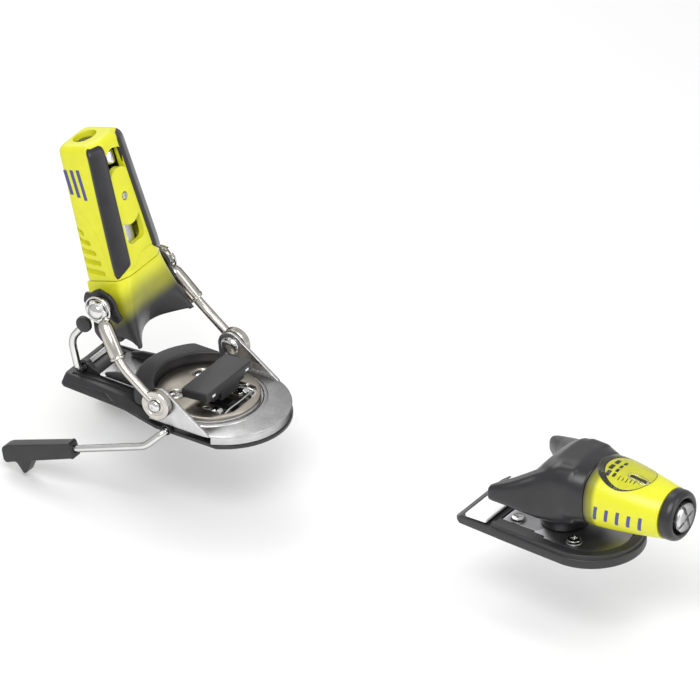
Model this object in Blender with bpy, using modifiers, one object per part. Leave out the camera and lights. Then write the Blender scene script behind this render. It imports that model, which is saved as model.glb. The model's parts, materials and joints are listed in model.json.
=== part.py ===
"""Alpine ski binding: a turntable heel unit and a toe unit on one mounting plane.

Frame: +X towards the toe of the ski, +Y to the left, +Z up.  The origin is where the
turntable's axis meets the ski's top surface.  Dimensions below are in millimetres.
"""
import math

import bmesh
import bpy
from mathutils import Matrix, Vector

MM = 0.001
GAP = 0.3                     # play between neighbouring pieces
SIDES = (("right", -1), ("left", 1))

# Fixed base of the heel unit
BASE_WIDTH = 76.0
BASE_FLOOR = 2.2
FRONT_ARC_X = 11.5            # centre of the front arcs of base and turntable
BASE_ARC_R = 42.5
DRUM_R = 37.0
DRUM_TOP = 5.9
TAIL_REAR = -92.0
TAIL_FRONT = -39.0
TAIL_HALF = 29.0
TAIL_TOP = 7.0
SCREW_X = 14.0
SCREW_Y = 14.5

# Disc that holds the turntable down
DISC_R = 32.5
DISC_HUB_R = 25.5
DISC_BOTTOM = 6.2
DISC_FLANGE = 10.2
DISC_TOP = 13.0
POCKET_FLOOR = 8.6
POCKET_REAR = 3.5
POCKET_FRONT = 27.0
POCKET_HALF = 20.0
SLOT_HALF = 8.5
DIMPLE_R = 5.85
HEEL_SCREW_HEAD_R = 4.3

# Turntable
RING_R = 37.5
RING_BOTTOM = 6.3
PLATE_BOTTOM = 7.5
PLATE_TOP = 8.8
PLATE_ARC_R = 42.0
PLATE_HALF = 33.0
BORE_R = 26.5
EAR_X = -9.0
EAR_Z = 22.0
EAR_R = 9.2
EAR_INNER = 38.0
EAR_OUTER = 40.5
TONGUE_HALF = 17.0
TONGUE_REAR = -70.0
PAD_INNER_R = 33.2
PAD_OUTER_R = 46.0
PAD_TOP = 20.0

# Arms between the ears and the hub of the heel housing
EYE_R = 9.7
EYE_INNER = 41.0
EYE_OUTER = 46.3
ROD_R = 2.9
BARREL_R = 4.7
BEND = (-35.5, 41.6)          # x, z where each arm bends
BEND_Y = 44.2
HUB_X = -57.0
HUB_Z = 70.0
HUB_END_Y = 36.0
AXLE_R = 3.3

# Heel housing, in its own frame: origin on the hub, leaning back
LEAN = math.radians(18.0)
JAW_TURN = math.radians(3.0)    # the jaw points this much further down than the shell
SHELL_BOTTOM = 13.0
SHELL_TOP = 101.0
SHELL_DEPTH = 30.0
SHELL_WIDTH_TOP = 33.0
SHELL_WIDTH_BOTTOM = 46.0
WALL = 2.5
SPRING_AXIS = -3.0            # fore-aft place of the release spring's axis
FACE_SCREW_Z = 60.4
WINDOWS = (("upper", 8.2, 76.0, 95.0), ("lower", 8.8, 30.0, 45.5))
RIB_LOW = 17.0                # lowest side rib and the distance from one to the next
RIB_STEP = 6.6
SPRING_LOW = 27.0
SPRING_LENGTH = 44.0
ADJUSTER_Z = 96.0             # underside of the adjuster's head
INDICATOR_Z = 85.0

# Rear stirrup
STIRRUP_X = -81.0
STIRRUP_Z = 10.2
STIRRUP_TOP = (-74.0, 49.0)
STIRRUP_BEND = (-86.5, 32.0)
STIRRUP_HALF = 21.5
STIRRUP_R = 2.4

# Brake
BRAKE_X = -4.0
BRAKE_Z = 3.6
BRAKE_WIRE_R = 2.25
BRAKE_Y = 50.0
BRAKE_SLOPE = math.radians(20.5)
TIP_REAR = -116.5
TIP_LENGTH = 55.0
PEDAL_PIN = (8.0, 16.2)
PEDAL_BOTTOM = 19.4
PEDAL_TILT = math.radians(5.7)

# Toe unit
TOE_REAR = 199.0
TOE_BASE_TOP = 6.0
TOE_ARC_X = 282.0
TOE_ARC_R = 34.0
POST_X = 262.0
HEAD_Z = 40.0
HEAD_FRONT = 342.0
HEAD_REAR = 291.0
TOE_SCREWS = ((238.0, 15.0), (281.0, 18.0))
AFD_X = 215.5

COLLECTION = "ski_binding"
YELLOW = ("binding_yellow", (0.80, 0.78, 0.03), 0.35, 0.0)
BLACK = ("binding_black", (0.05, 0.05, 0.053), 0.45, 0.0)
DARK = ("binding_dark_trim", (0.035, 0.035, 0.037), 0.5, 0.0)
SILVER = ("binding_silver", (0.55, 0.55, 0.54), 0.3, 1.0)
NICKEL = ("binding_nickel", (0.62, 0.59, 0.54), 0.28, 1.0)
CHAMPAGNE = ("binding_champagne", (0.47, 0.42, 0.35), 0.38, 1.0)
STEEL = ("binding_steel", (0.4, 0.4, 0.4), 0.35, 1.0)
WHITE = ("binding_white", (0.87, 0.87, 0.87), 0.4, 0.0)
CLEAR = ("binding_clear", (0.75, 0.75, 0.72), 0.1, 0.0)


# ---------------------------------------------------------------- scene helpers

def clear_scene():
    for obj in list(bpy.data.objects):
        bpy.data.objects.remove(obj, do_unlink=True)


def collection(name):
    found = bpy.data.collections.get(name)
    if found is None:
        found = bpy.data.collections.new(name)
        bpy.context.scene.collection.children.link(found)
    return found


def material(look):
    name, colour, roughness, metallic = look
    found = bpy.data.materials.get(name)
    if found is None:
        found = bpy.data.materials.new(name)
        found.use_nodes = True
        shader = found.node_tree.nodes["Principled BSDF"]
        shader.inputs["Base Color"].default_value = (*colour, 1.0)
        shader.inputs["Roughness"].default_value = roughness
        shader.inputs["Metallic"].default_value = metallic
    return found


def body_empty(name, x, z, y=0.0, lean=0.0):
    """An empty on a moving body's joint axis; its pieces are its children."""
    empty = bpy.data.objects.new(name, None)
    collection(COLLECTION).objects.link(empty)
    empty.location = (x * MM, y * MM, z * MM)
    empty.rotation_euler = (0.0, -lean, 0.0)
    return empty


def adopt(obj, parent):
    """Parent an object that was built in world coordinates."""
    obj.parent = parent
    frame = Matrix.LocRotScale(parent.location, parent.rotation_euler, None)
    obj.matrix_parent_inverse = frame.inverted()


def finish(obj, look, parent=None, local=False):
    """Give a piece its material, smooth shading, collection and parent."""
    obj.data.materials.clear()
    obj.data.materials.append(material(look))
    obj.data.shade_smooth()
    obj.data.set_sharp_from_angle(angle=math.radians(35.0))
    if parent is not None and local:
        obj.parent = parent
    elif parent is not None:
        adopt(obj, parent)
    return obj


def mesh_object(name, bm, group=COLLECTION):
    mesh = bpy.data.meshes.new(name)
    bmesh.ops.recalc_face_normals(bm, faces=bm.faces)
    bm.to_mesh(mesh)
    bm.free()
    obj = bpy.data.objects.new(name, mesh)
    collection(group).objects.link(obj)
    return obj


def as_tool(obj, parent=None, local=False):
    """Turn an object into a hidden Boolean operand."""
    for owner in list(obj.users_collection):
        owner.objects.unlink(obj)
    collection(COLLECTION + "_cutters").objects.link(obj)
    obj.hide_render = True
    obj.display_type = "WIRE"
    if parent is not None and local:
        obj.parent = parent
    elif parent is not None:
        adopt(obj, parent)
    return obj


def boolean(obj, operation, tool, parent=None, local=False):
    as_tool(tool, parent, local)
    modifier = obj.modifiers.new(operation.lower(), "BOOLEAN")
    modifier.operation = operation
    modifier.solver = "EXACT"
    modifier.object = tool
    return obj


def cut(obj, tool, parent=None, local=False):
    return boolean(obj, "DIFFERENCE", tool, parent, local)


def join(obj, tool, parent=None, local=False):
    return boolean(obj, "UNION", tool, parent, local)


def bevel(obj, width, segments=1, angle=30.0):
    modifier = obj.modifiers.new("bevel", "BEVEL")
    modifier.width = width * MM
    modifier.segments = segments
    modifier.limit_method = "ANGLE"
    modifier.angle_limit = math.radians(angle)
    return obj


# ---------------------------------------------------------------- shape helpers

AXIS_TURN = {
    "X": Matrix.Rotation(math.radians(90.0), 4, "Y"),
    "Y": Matrix.Rotation(math.radians(-90.0), 4, "X"),
    "Z": Matrix.Identity(4),
}


def cylinder(name, radius, low, high, centre, axis="Z", segments=20, top_radius=None):
    """A cylinder from low to high along an axis, about a centre in the other two."""
    bm = bmesh.new()
    depth = (high - low) * MM
    place = {
        "X": Vector(((low + high) / 2, centre[0], centre[1])),
        "Y": Vector((centre[0], (low + high) / 2, centre[1])),
        "Z": Vector((centre[0], centre[1], (low + high) / 2)),
    }[axis]
    bmesh.ops.create_cone(
        bm, cap_ends=True, segments=segments, radius1=radius * MM,
        radius2=(radius if top_radius is None else top_radius) * MM, depth=depth,
        matrix=Matrix.Translation(place * MM) @ AXIS_TURN[axis])
    return mesh_object(name, bm)


def box(name, low, high, turn=None):
    """A box between two corners, optionally turned about its centre."""
    low = Vector(low)
    high = Vector(high)
    bm = bmesh.new()
    place = Matrix.Translation((low + high) / 2 * MM)
    if turn is not None:
        place = place @ turn
    size = Matrix.Diagonal((*((high - low) * MM), 1.0))
    bmesh.ops.create_cube(bm, size=1.0, matrix=place @ size)
    return mesh_object(name, bm)


def tapered_box(name, low, high, bottom, top, centre_x=0.0):
    """A box whose bottom and top differ: bottom and top are (depth, width)."""
    obj = box(name, (-0.5, -0.5, low), (0.5, 0.5, high))
    middle = (low + high) / 2 * MM
    for vertex in obj.data.vertices:
        depth, width = top if vertex.co.z > middle else bottom
        vertex.co.x = centre_x * MM + math.copysign(depth / 2 * MM, vertex.co.x)
        vertex.co.y = math.copysign(width / 2 * MM, vertex.co.y)
    return obj


def curve_mesh(curve_object):
    """Replace a curve object by a mesh object with its caps welded."""
    bpy.context.view_layer.update()
    depsgraph = bpy.context.evaluated_depsgraph_get()
    evaluated = curve_object.evaluated_get(depsgraph)
    mesh = bpy.data.meshes.new_from_object(evaluated)
    bm = bmesh.new()
    bm.from_mesh(mesh)
    bmesh.ops.remove_doubles(bm, verts=bm.verts, dist=0.000001)
    bmesh.ops.recalc_face_normals(bm, faces=bm.faces)
    bm.to_mesh(mesh)
    bm.free()
    name = curve_object.name
    world = curve_object.matrix_world.copy()
    bpy.data.objects.remove(curve_object, do_unlink=True)
    obj = bpy.data.objects.new(name, mesh)
    obj.name = name
    mesh.name = name
    collection(COLLECTION).objects.link(obj)
    obj.matrix_world = world
    return obj


def poly_spline(curve, points, closed):
    spline = curve.splines.new("POLY")
    spline.points.add(len(points) - 1)
    for target, point in zip(spline.points, points):
        target.co = (*(Vector(point) * MM), 1.0)
    spline.use_cyclic_u = closed


def plate(name, outline, low, high, upright_y=None):
    """A flat outline, thick from low to high; upright_y stands it in the XZ plane."""
    curve = bpy.data.curves.new(name, "CURVE")
    curve.dimensions = "2D"
    curve.fill_mode = "BOTH"
    curve.extrude = (high - low) / 2 * MM
    poly_spline(curve, [(a, b, 0.0) for a, b in outline], True)
    obj = bpy.data.objects.new(name, curve)
    collection(COLLECTION).objects.link(obj)
    if upright_y is None:
        obj.location = (0.0, 0.0, (low + high) / 2 * MM)
    else:
        obj.rotation_euler = (math.radians(90.0), 0.0, 0.0)
        obj.location = (0.0, upright_y * (low + high) / 2 * MM, 0.0)
    return curve_mesh(obj)


def wire(name, points, radius, resolution=1):
    """A round wire along points, with filled ends."""
    curve = bpy.data.curves.new(name, "CURVE")
    curve.dimensions = "3D"
    curve.bevel_depth = radius * MM
    curve.bevel_resolution = resolution
    curve.use_fill_caps = True
    poly_spline(curve, points, False)
    obj = bpy.data.objects.new(name, curve)
    collection(COLLECTION).objects.link(obj)
    return curve_mesh(obj)


def turned(name, profile, centre, axis="Z", flip=False, steps=20):
    """A profile of (radius, height), top to bottom, turned about an axis."""
    mesh = bpy.data.meshes.new(name)
    vertices = [(radius * MM, 0.0, height * MM) for radius, height in profile]
    edges = [(i, i + 1) for i in range(len(profile) - 1)]
    if profile[0][0] > 0.0 and profile[-1][0] > 0.0:
        edges.append((len(profile) - 1, 0))
    mesh.from_pydata(vertices, edges, [])
    obj = bpy.data.objects.new(name, mesh)
    collection(COLLECTION).objects.link(obj)
    obj.location = Vector(centre) * MM
    turn = AXIS_TURN[axis].to_3x3()
    if flip:
        turn = turn @ Matrix.Rotation(math.pi, 3, "X")
    obj.rotation_euler = turn.to_euler()
    screw = obj.modifiers.new("turn", "SCREW")
    screw.axis = "Z"
    screw.steps = steps
    screw.render_steps = steps
    screw.use_merge_vertices = True
    screw.merge_threshold = 0.00001
    return obj


def arc(centre, radius, start, end, steps):
    """Points on an arc, angles in degrees."""
    points = []
    for i in range(steps + 1):
        angle = math.radians(start + (end - start) * i / steps)
        points.append((centre[0] + radius * math.cos(angle),
                       centre[1] + radius * math.sin(angle)))
    return points


def corners_only(outline):
    """Drop the points that lie on a straight stretch."""
    kept = [outline[0]]
    for before, point, after in zip(outline, outline[1:], outline[2:]):
        first = Vector(point) - Vector(before)
        second = Vector(after) - Vector(point)
        if abs(first.x * second.y - first.y * second.x) > 0.0001 * first.length:
            kept.append(point)
    kept.append(outline[-1])
    return kept


def clamped(points, x_range, y_half):
    """Clip an outline to a box by moving its outer points onto the box."""
    result = []
    for x, y in points:
        point = (min(max(x, x_range[0]), x_range[1]), min(max(y, -y_half), y_half))
        if not result or (Vector(point) - Vector(result[-1])).length > 0.05:
            result.append(point)
    if (Vector(result[0]) - Vector(result[-1])).length < 0.05:
        result.pop()
    return corners_only(result)


def mirrored(outline):
    """A full outline from its +Y half, given front to rear."""
    half = list(outline)
    return corners_only(half + [(x, -y) for x, y in reversed(half) if abs(y) > 0.001])


def fillet(points, radius, steps=5):
    """Round the inner corners of a path of points."""
    path = [Vector(point) for point in points]
    result = [path[0]]
    for before, corner, after in zip(path, path[1:], path[2:]):
        into = (before - corner).normalized()
        out = (after - corner).normalized()
        reach = min(radius, (before - corner).length / 2.1, (after - corner).length / 2.1)
        for i in range(steps + 1):
            t = i / steps
            result.append((corner + into * reach) * (1 - t) ** 2
                          + corner * 2 * t * (1 - t) + (corner + out * reach) * t ** 2)
    result.append(path[-1])
    return result


def coil(name, centre, radius, wire_radius, turns, length, axis="Z", steps=10):
    """A helical spring from the centre along the axis."""
    turn = AXIS_TURN[axis].to_3x3()
    points = []
    total = int(turns * steps)
    for i in range(total + 1):
        angle = math.tau * i / steps
        local = Vector((radius * math.cos(angle), radius * math.sin(angle),
                        length * i / total))
        points.append(Vector(centre) + turn @ local)
    return wire(name, points, wire_radius, 1)


def loft(name, rings):
    """A closed solid through rings of equal point counts, capped at both ends."""
    bm = bmesh.new()
    rows = [[bm.verts.new(Vector(point) * MM) for point in ring] for ring in rings]
    count = len(rows[0])
    for low, high in zip(rows, rows[1:]):
        for i in range(count):
            j = (i + 1) % count
            bm.faces.new((low[i], low[j], high[j], high[i]))
    bm.faces.new(rows[0])
    bm.faces.new(rows[-1])
    return mesh_object(name, bm)


def superellipse(centre, half_y, half_z, power, count):
    """A rounded-square ring in the YZ plane at centre."""
    ring = []
    for i in range(count):
        angle = math.tau * i / count
        c = math.cos(angle)
        s = math.sin(angle)
        y = math.copysign(abs(c) ** power, c) * half_y
        z = math.copysign(abs(s) ** power, s) * half_z
        ring.append(Vector((centre[0], centre[1] + y, centre[2] + z)))
    return ring


# ---------------------------------------------------------------- heel base

def countersunk_screw(name, x, y, top, head_r, shank_low, shank_r=2.1):
    head = 2.0
    recess = 0.9
    profile = [(0.0, top - recess), (head_r * 0.4, top), (head_r, top), (shank_r, top - head),
               (shank_r, shank_low), (0.0, shank_low)]
    return finish(turned(name, profile, (x, y, 0.0), steps=14), STEEL)


def heel_base():
    half = BASE_WIDTH / 2
    front = clamped(arc((FRONT_ARC_X, 0.0), BASE_ARC_R, 0.0, 60.0, 12), (-100.0, 100.0), half)
    outline = mirrored(front + [(-14.0, half), (-30.0, TAIL_HALF), (TAIL_REAR + 5.0, TAIL_HALF),
                                (TAIL_REAR, TAIL_HALF - 5.0)])
    base = plate("heel_base", outline, 0.0, BASE_FLOOR)
    join(base, cylinder("drum_tool", DRUM_R, 0.5, DRUM_TOP, (0.0, 0.0), segments=36))
    tail = tapered_box("tail_tool", 0.7, TAIL_TOP, (51.0, 54.0), (47.0, 44.0),
                       (TAIL_REAR + TAIL_FRONT) / 2)
    join(base, tail)
    cut(base, box("channel_tool", (BRAKE_X - 2.9, -60.0, 1.0), (BRAKE_X + 2.9, 60.0, 30.0)))
    cut(base, box("well_tool", (BRAKE_X - 3.5, -SLOT_HALF, 1.3), (26.0, SLOT_HALF, 30.0)))
    for x in (-SCREW_X, SCREW_X):
        for y in (-SCREW_Y, SCREW_Y):
            cut(base, cylinder("hole_tool", 2.6, -2.0, 12.0, (x, y), segments=12))
    return finish(base, BLACK)


def heel_disc():
    profile = [(0.0, DISC_TOP), (DISC_R - 0.8, DISC_TOP), (DISC_R, DISC_TOP - 0.8),
               (DISC_R, DISC_FLANGE), (DISC_HUB_R, DISC_FLANGE), (DISC_HUB_R, DISC_BOTTOM),
               (0.0, DISC_BOTTOM)]
    disc = turned("heel_disc", profile, (0.0, 0.0, 0.0), steps=32)
    upper = clamped(arc((0.0, 0.0), DISC_R - 2.5, -90.0, 90.0, 16),
                    (POCKET_REAR, POCKET_FRONT), POCKET_HALF)
    cut(disc, plate("pocket_tool", upper, DISC_FLANGE - 0.4, 20.0))
    lower = clamped(arc((0.0, 0.0), DISC_HUB_R - 1.5, -90.0, 90.0, 16),
                    (POCKET_REAR, POCKET_FRONT), POCKET_HALF)
    cut(disc, plate("pocket_floor_tool", lower, POCKET_FLOOR, 12.0))
    cut(disc, box("slot_tool", (BRAKE_X - 4.5, -SLOT_HALF, 0.0), (23.5, SLOT_HALF, 30.0)))
    for x in (-SCREW_X, SCREW_X):
        for y in (-SCREW_Y, SCREW_Y):
            cut(disc, cylinder("shank_tool", 2.5, 0.0, 20.0, (x, y), segments=12))
    for y in (-SCREW_Y, SCREW_Y):
        cut(disc, cylinder("dimple_tool", DIMPLE_R - 1.0, 10.6, 13.5, (-SCREW_X, y),
                           segments=12, top_radius=DIMPLE_R + 0.2))
    return finish(disc, CHAMPAGNE)


def glide_ring():
    profile = [(BORE_R + 0.2, 9.9), (DISC_R - 0.6, 9.9), (DISC_R - 0.6, 9.1),
               (BORE_R + 0.2, 9.1)]
    return finish(turned("glide_ring", profile, (0.0, 0.0, 0.0), steps=36), WHITE)


def heel_screws():
    number = 1
    for x in (-SCREW_X, SCREW_X):
        for y in (-SCREW_Y, SCREW_Y):
            top = 12.6 if x < 0 else POCKET_FLOOR + 2.4
            countersunk_screw(f"heel_screw_{number}", x, y, top, HEEL_SCREW_HEAD_R, 0.4)
            number += 1


# ---------------------------------------------------------------- brake

def brake_path():
    """Right-hand half of the brake wire, from the middle of the axle to the tip."""
    slope = math.tan(BRAKE_SLOPE)
    knee = (-13.5, -6.4)
    end_x = TIP_REAR + TIP_LENGTH - 12.0
    end_z = knee[1] + slope * (end_x - knee[0])
    points = [(BRAKE_X, 0.0, BRAKE_Z), (BRAKE_X, 44.5, BRAKE_Z),
              (knee[0], BRAKE_Y, knee[1]), (end_x, BRAKE_Y, end_z)]
    return fillet(points, 3.0, 3)


def brake_bodies():
    brake = body_empty("brake_arms", BRAKE_X, BRAKE_Z)
    pedal = body_empty("brake_pedal_axis", PEDAL_PIN[0], PEDAL_PIN[1])
    half = brake_path()
    path = [Vector((p[0], -p[1], p[2])) for p in reversed(half[1:])] + half[1:]
    frame = wire("brake_frame", path, BRAKE_WIRE_R, 1)
    lever = [(BRAKE_X - 3.0, BRAKE_Z - 1.2), (BRAKE_X + 2.0, BRAKE_Z - 1.3),
             (PEDAL_PIN[0] + 2.4, PEDAL_PIN[1] - 2.0)]
    lever += arc(PEDAL_PIN, 2.4, 0.0, 150.0, 6)
    for side, sign in SIDES:
        upright = plate("upright_tool", lever, 4.6, 6.4, upright_y=sign)
        join(frame, upright, brake)
    cut(frame, cylinder("pin_tool", 1.8, -12.0, 12.0, PEDAL_PIN, "Y", 16), brake)
    finish(frame, NICKEL, brake)

    slope = math.tan(BRAKE_SLOPE)
    rise = Vector((math.cos(BRAKE_SLOPE), 0.0, math.sin(BRAKE_SLOPE)))
    across = Vector((-rise.z, 0.0, rise.x))
    root = Vector((TIP_REAR, 0.0, -6.4 + slope * (TIP_REAR + 13.5)))
    outline = [(0.0, -4.0), (1.5, -6.0), (10.0, -5.6), (13.0, -15.0), (22.0, -5.6),
               (TIP_LENGTH - 2.0, -5.0), (TIP_LENGTH, -3.5), (TIP_LENGTH, 4.0),
               (TIP_LENGTH - 2.0, 5.5), (4.0, 6.0), (0.5, 3.0)]
    flat = [root + rise * a + across * b for a, b in outline]
    for side, sign in SIDES:
        centre = sign * BRAKE_Y
        tip = plate(f"brake_tip_{side}", [(p.x, p.z) for p in flat],
                    BRAKE_Y - 4.5, BRAKE_Y + 4.5, upright_y=sign)
        start = root + rise * 20.0
        stop = root + rise * (TIP_LENGTH + 6.0)
        bore = wire("bore_tool", [(start.x, centre, start.z), (stop.x, centre, stop.z)],
                    BRAKE_WIRE_R + GAP + 0.1)
        cut(tip, bore, brake)
        finish(tip, BLACK, brake)
        ring = [(3.3, 1.5), (3.3, -1.5), (2.65, -1.5), (2.65, 1.5)]
        finish(turned(f"brake_bush_{side}", ring, (BRAKE_X, sign * 39.9, BRAKE_Z), "Y",
                      steps=24), DARK)
    spring = coil("brake_spring", (PEDAL_PIN[0], -3.6, PEDAL_PIN[1]), 2.4, 0.5, 4, 7.2, "Y")
    finish(spring, STEEL, brake)

    plate_top = tapered_box("brake_pedal", PEDAL_BOTTOM, PEDAL_BOTTOM + 5.0,
                            (19.0, 49.0), (20.0, 50.0), PEDAL_PIN[0] - 1.0)
    pivot = Matrix.Translation(Vector((-3.0, 0.0, PEDAL_BOTTOM)) * MM)
    plate_top.data.transform(pivot @ Matrix.Rotation(-PEDAL_TILT, 4, "Y") @ pivot.inverted())
    bevel(plate_top, 1.4)
    join(plate_top, box("skirt_tool", (12.6, -9.4, 15.6), (16.2, 9.4, 23.0)), pedal)
    for side, sign in SIDES:
        lug = [(PEDAL_PIN[0] - 3.0, PEDAL_BOTTOM + 2.5)] + arc(PEDAL_PIN, 2.6, 180.0, 360.0, 6)
        lug.append((PEDAL_PIN[0] + 3.0, PEDAL_BOTTOM + 2.5))
        join(plate_top, plate("lug_tool", lug, 6.9, 8.2, upright_y=sign), pedal)
    cut(plate_top, cylinder("pin_hole_tool", 1.8, -12.0, 12.0, PEDAL_PIN, "Y", 16), pedal)
    finish(plate_top, BLACK, pedal)
    pin = cylinder("brake_pedal_pin", 1.5, -8.3, 8.3, PEDAL_PIN, "Y", 16)
    finish(pin, STEEL, brake)
    pedal.parent = brake
    pedal.location = Vector((PEDAL_PIN[0] - BRAKE_X, 0.0, PEDAL_PIN[1] - BRAKE_Z)) * MM


# ---------------------------------------------------------------- turntable

def ear_outline():
    foot = PLATE_BOTTOM + 0.4
    outline = [(24.6, foot), (24.6, foot + 0.8)]
    outline += arc((EAR_X, EAR_Z), EAR_R, 38.0, 190.0, 8)
    outline += [(-16.6, foot)]
    return outline


def turntable_plate(body):
    ring = cylinder("turntable_plate", RING_R, RING_BOTTOM, PLATE_TOP, (0.0, 0.0), segments=32)
    front = arc((FRONT_ARC_X, 0.0), PLATE_ARC_R, 0.0, 72.0, 16)
    apron = mirrored(front + [(23.6, EAR_OUTER - 0.2),
                              (-17.0, EAR_OUTER - 0.2), (-17.5, PLATE_HALF - 1.0),
                              (-30.0, TONGUE_HALF + 6.0), (-36.0, TONGUE_HALF),
                              (TONGUE_REAR, TONGUE_HALF - 1.0)])
    join(ring, plate("apron_tool", apron, PLATE_BOTTOM, PLATE_TOP + 0.15), body)
    lip = clamped(arc((FRONT_ARC_X, 0.0), PLATE_ARC_R - 0.2, -50.0, 50.0, 14),
                  (30.0, 100.0), PLATE_HALF)
    inner = clamped(arc((FRONT_ARC_X, 0.0), PLATE_ARC_R - 3.0, -53.0, 53.0, 14),
                    (29.0, 100.0), PLATE_HALF)
    skirt = plate("skirt_tool", lip, 2.6, PLATE_TOP - 0.2)
    cut(skirt, plate("skirt_inner_tool", inner, 0.0, 20.0), body)
    join(ring, skirt, body)
    for side, sign in SIDES:
        join(ring, plate("ear_tool", ear_outline(), EAR_INNER, EAR_OUTER, upright_y=sign), body)
    cut(ring, cylinder("bore_tool", BORE_R, 0.0, 20.0, (0.0, 0.0), segments=32), body)
    cut(ring, cylinder("ear_hole_tool", 3.3, -60.0, 60.0, (EAR_X, EAR_Z), "Y", 24), body)
    return finish(ring, SILVER, body)


def heel_pad(body):
    outer = clamped(arc((0.0, 0.0), PAD_OUTER_R, 110.0, 250.0, 16), (-60.0, -12.0), 32.0)
    inner = clamped(arc((0.0, 0.0), PAD_INNER_R, 250.0, 110.0, 14), (-60.0, -12.0), 32.0)
    pad = plate("heel_pad", outer + inner, PLATE_TOP + 0.4, PAD_TOP)
    bevel(pad, 1.2, 1, 50.0)
    return finish(pad, BLACK, body)


def tail_clip(body):
    clip = box("tail_clip", (-87.0, -15.0, 7.5), (TONGUE_REAR - GAP, 15.0, 15.0))
    cut(clip, cylinder("bar_tool", STIRRUP_R + 0.4, -30.0, 30.0, (STIRRUP_X, STIRRUP_Z), "Y", 24),
        body)
    bevel(clip, 1.5)
    return finish(clip, BLACK, body)


def ear_pins(body):
    profile = [(0.0, 49.0), (2.2, 48.7), (4.0, 47.4), (4.2, 46.6), (3.0, 46.6), (3.0, 37.7),
               (5.0, 37.7), (5.0, 36.6), (3.0, 35.4), (0.0, 35.0)]
    for side, sign in SIDES:
        pin = turned(f"ear_pin_{side}", profile, (EAR_X, 0.0, EAR_Z), "Y", flip=sign < 0,
                     steps=16)
        finish(pin, NICKEL, body)


# ---------------------------------------------------------------- arms

def arms(body):
    for side, sign in SIDES:
        low, high = sorted((sign * EYE_INNER, sign * EYE_OUTER))
        rod = cylinder(f"arm_rod_{side}", EYE_R, low, high, (EAR_X, EAR_Z), "Y", 36)
        bevel(rod, 0.6)
        start = Vector((EAR_X - 4.0, sign * BEND_Y, EAR_Z + 3.0))
        bend = Vector((BEND[0], sign * BEND_Y, BEND[1]))
        end = Vector((HUB_X, sign * HUB_END_Y, HUB_Z))
        path = fillet([start, bend, bend.lerp(end, 0.5)], 5.0, 3)
        join(rod, wire("rod_tool", path, ROD_R), body)
        cut(rod, cylinder("eye_tool", 3.3, -60.0, 60.0, (EAR_X, EAR_Z), "Y", 24), body)
        finish(rod, NICKEL, body)

        barrel = wire(f"arm_barrel_{side}", [bend.lerp(end, 0.12), bend.lerp(end, 0.72)],
                      BARREL_R, 2)
        neck_start = bend.lerp(end, 0.65)
        neck_start.y = sign * 35.4
        neck_end = Vector((HUB_X, sign * 34.4, HUB_Z))
        join(barrel, wire("neck_tool", [neck_start, neck_end], 2.0), body)
        low, high = sorted((sign * 31.9, sign * 37.0))
        join(barrel, cylinder("head_tool", 7.0, low, high, (HUB_X, HUB_Z), "Y", 32), body)
        cut(barrel, wire("bore_tool", [bend.lerp(end, -0.1), bend.lerp(end, 0.56)],
                         ROD_R + 0.6), body)
        cut(barrel, cylinder("axle_tool", AXLE_R + GAP, -60.0, 60.0, (HUB_X, HUB_Z), "Y", 24),
            body)
        finish(barrel, NICKEL, body)

        profile = [(0.0, 42.2), (2.2, 42.0), (2.6, 40.9), (4.9, 40.3), (6.7, 38.6), (6.7, 37.4),
                   (AXLE_R + GAP, 37.4), (AXLE_R + GAP, 39.2), (0.0, 39.2)]
        nut = turned(f"hub_nut_{side}", profile, (HUB_X, 0.0, HUB_Z), "Y", flip=sign < 0,
                     steps=16)
        finish(nut, SILVER, body)
    axle = cylinder("hub_axle", AXLE_R, -38.8, 38.8, (HUB_X, HUB_Z), "Y", 24)
    finish(axle, STEEL, body)


# ---------------------------------------------------------------- heel housing

def shell_width(height):
    t = (height - SHELL_BOTTOM) / (SHELL_TOP - SHELL_BOTTOM)
    return SHELL_WIDTH_BOTTOM + (SHELL_WIDTH_TOP - SHELL_WIDTH_BOTTOM) * t


def corner_strip(name, sign, grow):
    """A guard bar on a front corner of the shell."""
    low = 17.0 - grow
    high = SHELL_TOP - 3.0 + grow
    bar = box(name, (12.2 - grow, -0.5, low), (16.6 + grow, 0.5, high))
    middle = (low + high) / 2 * MM
    for vertex in bar.data.vertices:
        height = high if vertex.co.z > middle else low
        outer = shell_width(height) / 2 + 1.2 + grow
        inner = outer - 9.0 - 2 * grow
        vertex.co.y = sign * (outer if vertex.co.y * sign > 0 else inner) * MM
    return bar


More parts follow.
